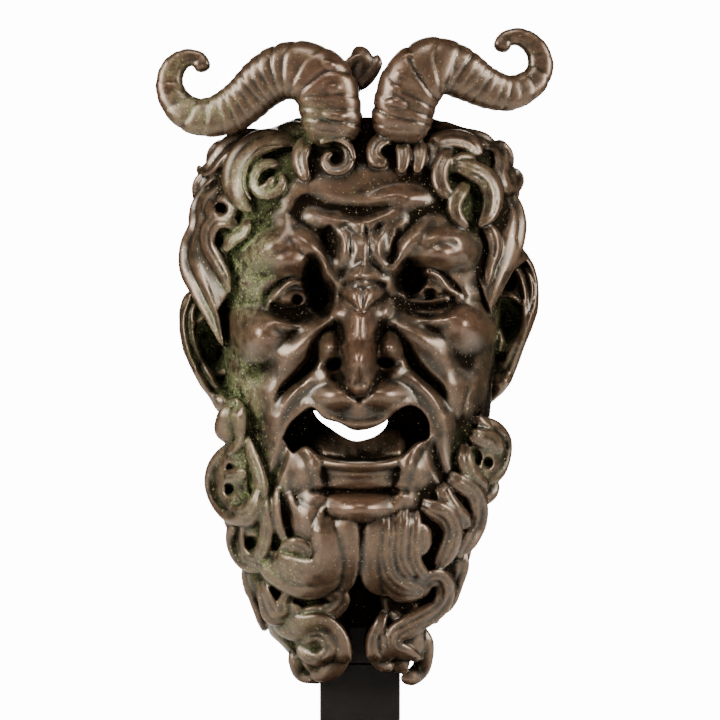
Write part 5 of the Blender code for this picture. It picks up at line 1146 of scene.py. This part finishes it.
def ramp(tree, factor, stops):
    node = add_node(tree, "ShaderNodeValToRGB", i0=factor)
    while len(node.color_ramp.elements) < len(stops):
        node.color_ramp.elements.new(0.5)
    for element, (place, value) in zip(node.color_ramp.elements, stops):
        element.position, element.color = place, value
    return node.outputs["Color"]


def rising(tree, factor, low, high):
    """Black below one value, white above another, and greys between."""
    return ramp(tree, factor, [(low, (0, 0, 0, 1)), (high, (1, 1, 1, 1))])


def noise(tree, scale, detail, roughness=0.5):
    """A noise that is laid on the object's own coordinates."""
    place = add_node(tree, "ShaderNodeTexCoord").outputs["Object"]
    made = add_node(tree, "ShaderNodeTexNoise", Vector=place, Scale=scale, Detail=detail, Roughness=roughness)
    return made.outputs[0]


def maths(tree, operation, first, second):
    """Two numbers put together. All but a product is kept between 0 and 1."""
    settings = {"operation": operation, "use_clamp": operation != "MULTIPLY"}
    return add_node(tree, "ShaderNodeMath", settings, i0=first, i1=second).outputs[0]


def times(tree, first, second):
    return maths(tree, "MULTIPLY", first, second)


def plus(tree, first, second):
    return maths(tree, "ADD", first, second)


def mixed(tree, factor, first, second):
    """Two colours mixed. Inputs 6 and 7 are the colour ones."""
    return add_node(tree, "ShaderNodeMix", {"data_type": "RGBA"}, i0=factor, i6=first, i7=second).outputs[2]


def new_material(name):
    material = bpy.data.materials.new(name)
    material.use_nodes = True
    material.node_tree.nodes.clear()
    return material, material.node_tree


# %% Bronze
def patinated_bronze():
    material, tree = new_material("patinated bronze")
    place = add_node(tree, "ShaderNodeTexCoord").outputs["Object"]
    blotch, mottle, grain = noise(tree, 28.0, 4.0, 0.6), noise(tree, 150.0, 5.0, 0.65), noise(tree, 650.0, 3.0, 0.6)
    worn, recess, groove, green, red = (
        add_node(tree, "ShaderNodeAttribute", {"attribute_name": name}).outputs["Fac"]
        for name in ("ridge", "recess", "groove", "green", "red"))

    # Brown metal, redder where it is handled and lighter on the ridges. The hollows and grooves are darkened to
    # nearly black as painted shade.
    brown = ramp(tree, mottle, [(0.30, colour("#171209")), (0.50, colour("#2f2517")), (0.68, colour("#4b3c28"))])
    redder = ramp(tree, mottle, [(0.30, colour("#33190c")), (0.62, colour("#59321c"))])
    handled = times(tree, red, rising(tree, blotch, 0.35, 0.62))
    base = mixed(tree, times(tree, handled, 0.75), brown, redder)
    base = mixed(tree, times(tree, worn, 0.35), base, colour("#6a5040"))
    # Painted shade: the deep hollows and the fine grooves are mixed towards near black.
    shaded = maths(tree, "MAXIMUM", times(tree, recess, 0.92), times(tree, groove, 0.6))
    deep = mixed(tree, shaded, base, colour("#0a0705"))

    # Verdigris in patches, most of it held in the grooves, and a few bright grains of lime.
    verdigris = ramp(tree, grain, [(0.35, colour("#474f35")), (0.55, colour("#6d7752")), (0.72, colour("#a3a888"))])
    taken = times(tree, green, rising(tree, mottle, 0.38, 0.56))
    crust = times(tree, taken, plus(tree, times(tree, groove, 0.45), 0.42))
    surface = mixed(tree, crust, deep, verdigris)
    bright = times(tree, maths(tree, "GREATER_THAN", grain, 0.665), 0.45)
    surface = mixed(tree, bright, surface, colour("#b8ad90"))

    # The wax is rubbed smooth on the ridges. The crust and the hollows stay rough, pitted and stippled.
    roughness = plus(tree, times(tree, crust, 0.5), plus(tree, times(tree, mottle, 0.30), 0.22))
    roughness = plus(tree, roughness, times(tree, recess, 0.35))
    pits = add_node(tree, "ShaderNodeTexVoronoi", Vector=place, Scale=420.0).outputs["Distance"]
    height = plus(tree, times(tree, mottle, 0.6), times(tree, rising(tree, pits, 0.0, 0.22), 0.25))
    stipple = times(tree, plus(tree, crust, recess), grain)
    height = plus(tree, height, times(tree, stipple, 0.7))
    bump = add_node(tree, "ShaderNodeBump", Strength=0.38, Distance=0.0006, Height=height)

    # Painted shade in the deep hollows: the metallic share rises and the wax coat thins there, so the near-black
    # colour reflects almost nothing.
    metal = plus(tree, times(tree, recess, 0.40), 0.58)
    wax = times(tree, maths(tree, "SUBTRACT", 1.0, plus(tree, recess, crust)), 0.5)
    shader = add_node(tree, "ShaderNodeBsdfPrincipled", Base_Color=surface, Metallic=metal, Roughness=roughness,
                      Normal=bump.outputs[0], Coat_Weight=wax, Coat_Roughness=0.32)
    add_node(tree, "ShaderNodeOutputMaterial", Surface=shader.outputs[0])
    return material


mask_mesh.materials.clear()
mask_mesh.materials.append(patinated_bronze())
print("bronze is on", mask.name)

# %% [markdown]
# ## The painted steel
# The post and foot are steel, sprayed satin black. The cradle behind the mask is the same.

# %% Black paint
def satin_black(name, base_text, light_text, roughness):
    material, tree = new_material(name)
    dust, orange_peel = noise(tree, 60.0, 5.0, 0.6), noise(tree, 900.0, 1.0)
    surface = ramp(tree, dust, [(0.35, colour(base_text)), (0.75, colour(light_text))])
    rough = plus(tree, times(tree, dust, 0.16), roughness)
    bump = add_node(tree, "ShaderNodeBump", Strength=0.12, Distance=0.0003, Height=orange_peel)
    shader = add_node(tree, "ShaderNodeBsdfPrincipled", Base_Color=surface, Roughness=rough, Normal=bump.outputs[0],
                      Specular_IOR_Level=0.2)
    add_node(tree, "ShaderNodeOutputMaterial", Surface=shader.outputs[0])
    return material


for node, name, base_text, light_text, roughness in (
        ("stand_post", "satin black post", "#050404", "#0c0a09", 0.5),
        ("stand_foot", "satin black foot", "#060505", "#0e0c0b", 0.45),
        ("cradle", "black steel cradle", "#0d0c0c", "#1d1b1a", 0.50)):
    steel = bpy.data.objects[node]
    paint = satin_black(name, base_text, light_text, roughness)
    for place in steel.material_slots:
        place.material = paint
    print(name, "is on", node)

# %% [markdown]
# ## The studio
# A white sweep and soft lamps from both sides and above. The bronze shows the lamps as bright spots on the
# parts that face them, and the dark of the room in between.

# %% Floor and light
floor = bmesh.new()
bmesh.ops.create_grid(floor, x_segments=1, y_segments=1, size=0.8)
floor_object = new_object("floor", floor)
floor_material, floor_tree = new_material("pale floor")
floor_shader = add_node(floor_tree, "ShaderNodeBsdfPrincipled", Base_Color=colour("#e9e8e5"), Roughness=0.8)
add_node(floor_tree, "ShaderNodeOutputMaterial", Surface=floor_shader.outputs[0])
floor_object.data.materials.append(floor_material)


WARM_WHITE = (1.0, 0.93, 0.82)
LAMPS = [                                # name, place, width and height in metres, watts
    ("key_left", (-1.45, -0.75, 0.85), 0.8, 1.3, 86.0),
    ("key_right", (1.5, -0.62, 0.75), 0.7, 1.2, 64.0),
    ("top", (0.0, -0.8, 1.7), 0.7, 0.4, 13.0),
    ("low_front", (0.0, -1.8, 0.25), 0.8, 0.3, 3.0),
    ("back", (0.0, 1.8, 0.9), 0.9, 0.6, 12.0),
]
for name, place, wide, high, watts in LAMPS:
    lamp = bpy.data.lights.new(name, "AREA")
    lamp.shape, lamp.size, lamp.size_y, lamp.energy = "RECTANGLE", wide, high, watts
    lamp.color = WARM_WHITE
    soft_box = linked(name, lamp)
    soft_box.location = place
    soft_box.rotation_euler = (aim - Vector(place)).to_track_quat("-Z", "Y").to_euler()

# The camera sees a white sweep behind the mask, and the bronze sees a nearly dark room.
DARK_ROOM, WHITE_SWEEP = (0.016, 0.016, 0.016, 1.0), (14.0, 14.0, 14.0, 1.0)
world = bpy.data.worlds.new("studio")
world.use_nodes = True
world.node_tree.nodes.clear()
seen = add_node(world.node_tree, "ShaderNodeLightPath").outputs["Is Camera Ray"]
air = mixed(world.node_tree, seen, DARK_ROOM, WHITE_SWEEP)
sky = add_node(world.node_tree, "ShaderNodeBackground", Color=air, Strength=1.0)
add_node(world.node_tree, "ShaderNodeOutputWorld", Surface=sky.outputs[0])
bpy.context.scene.world = world
print(len(LAMPS), "lamps")
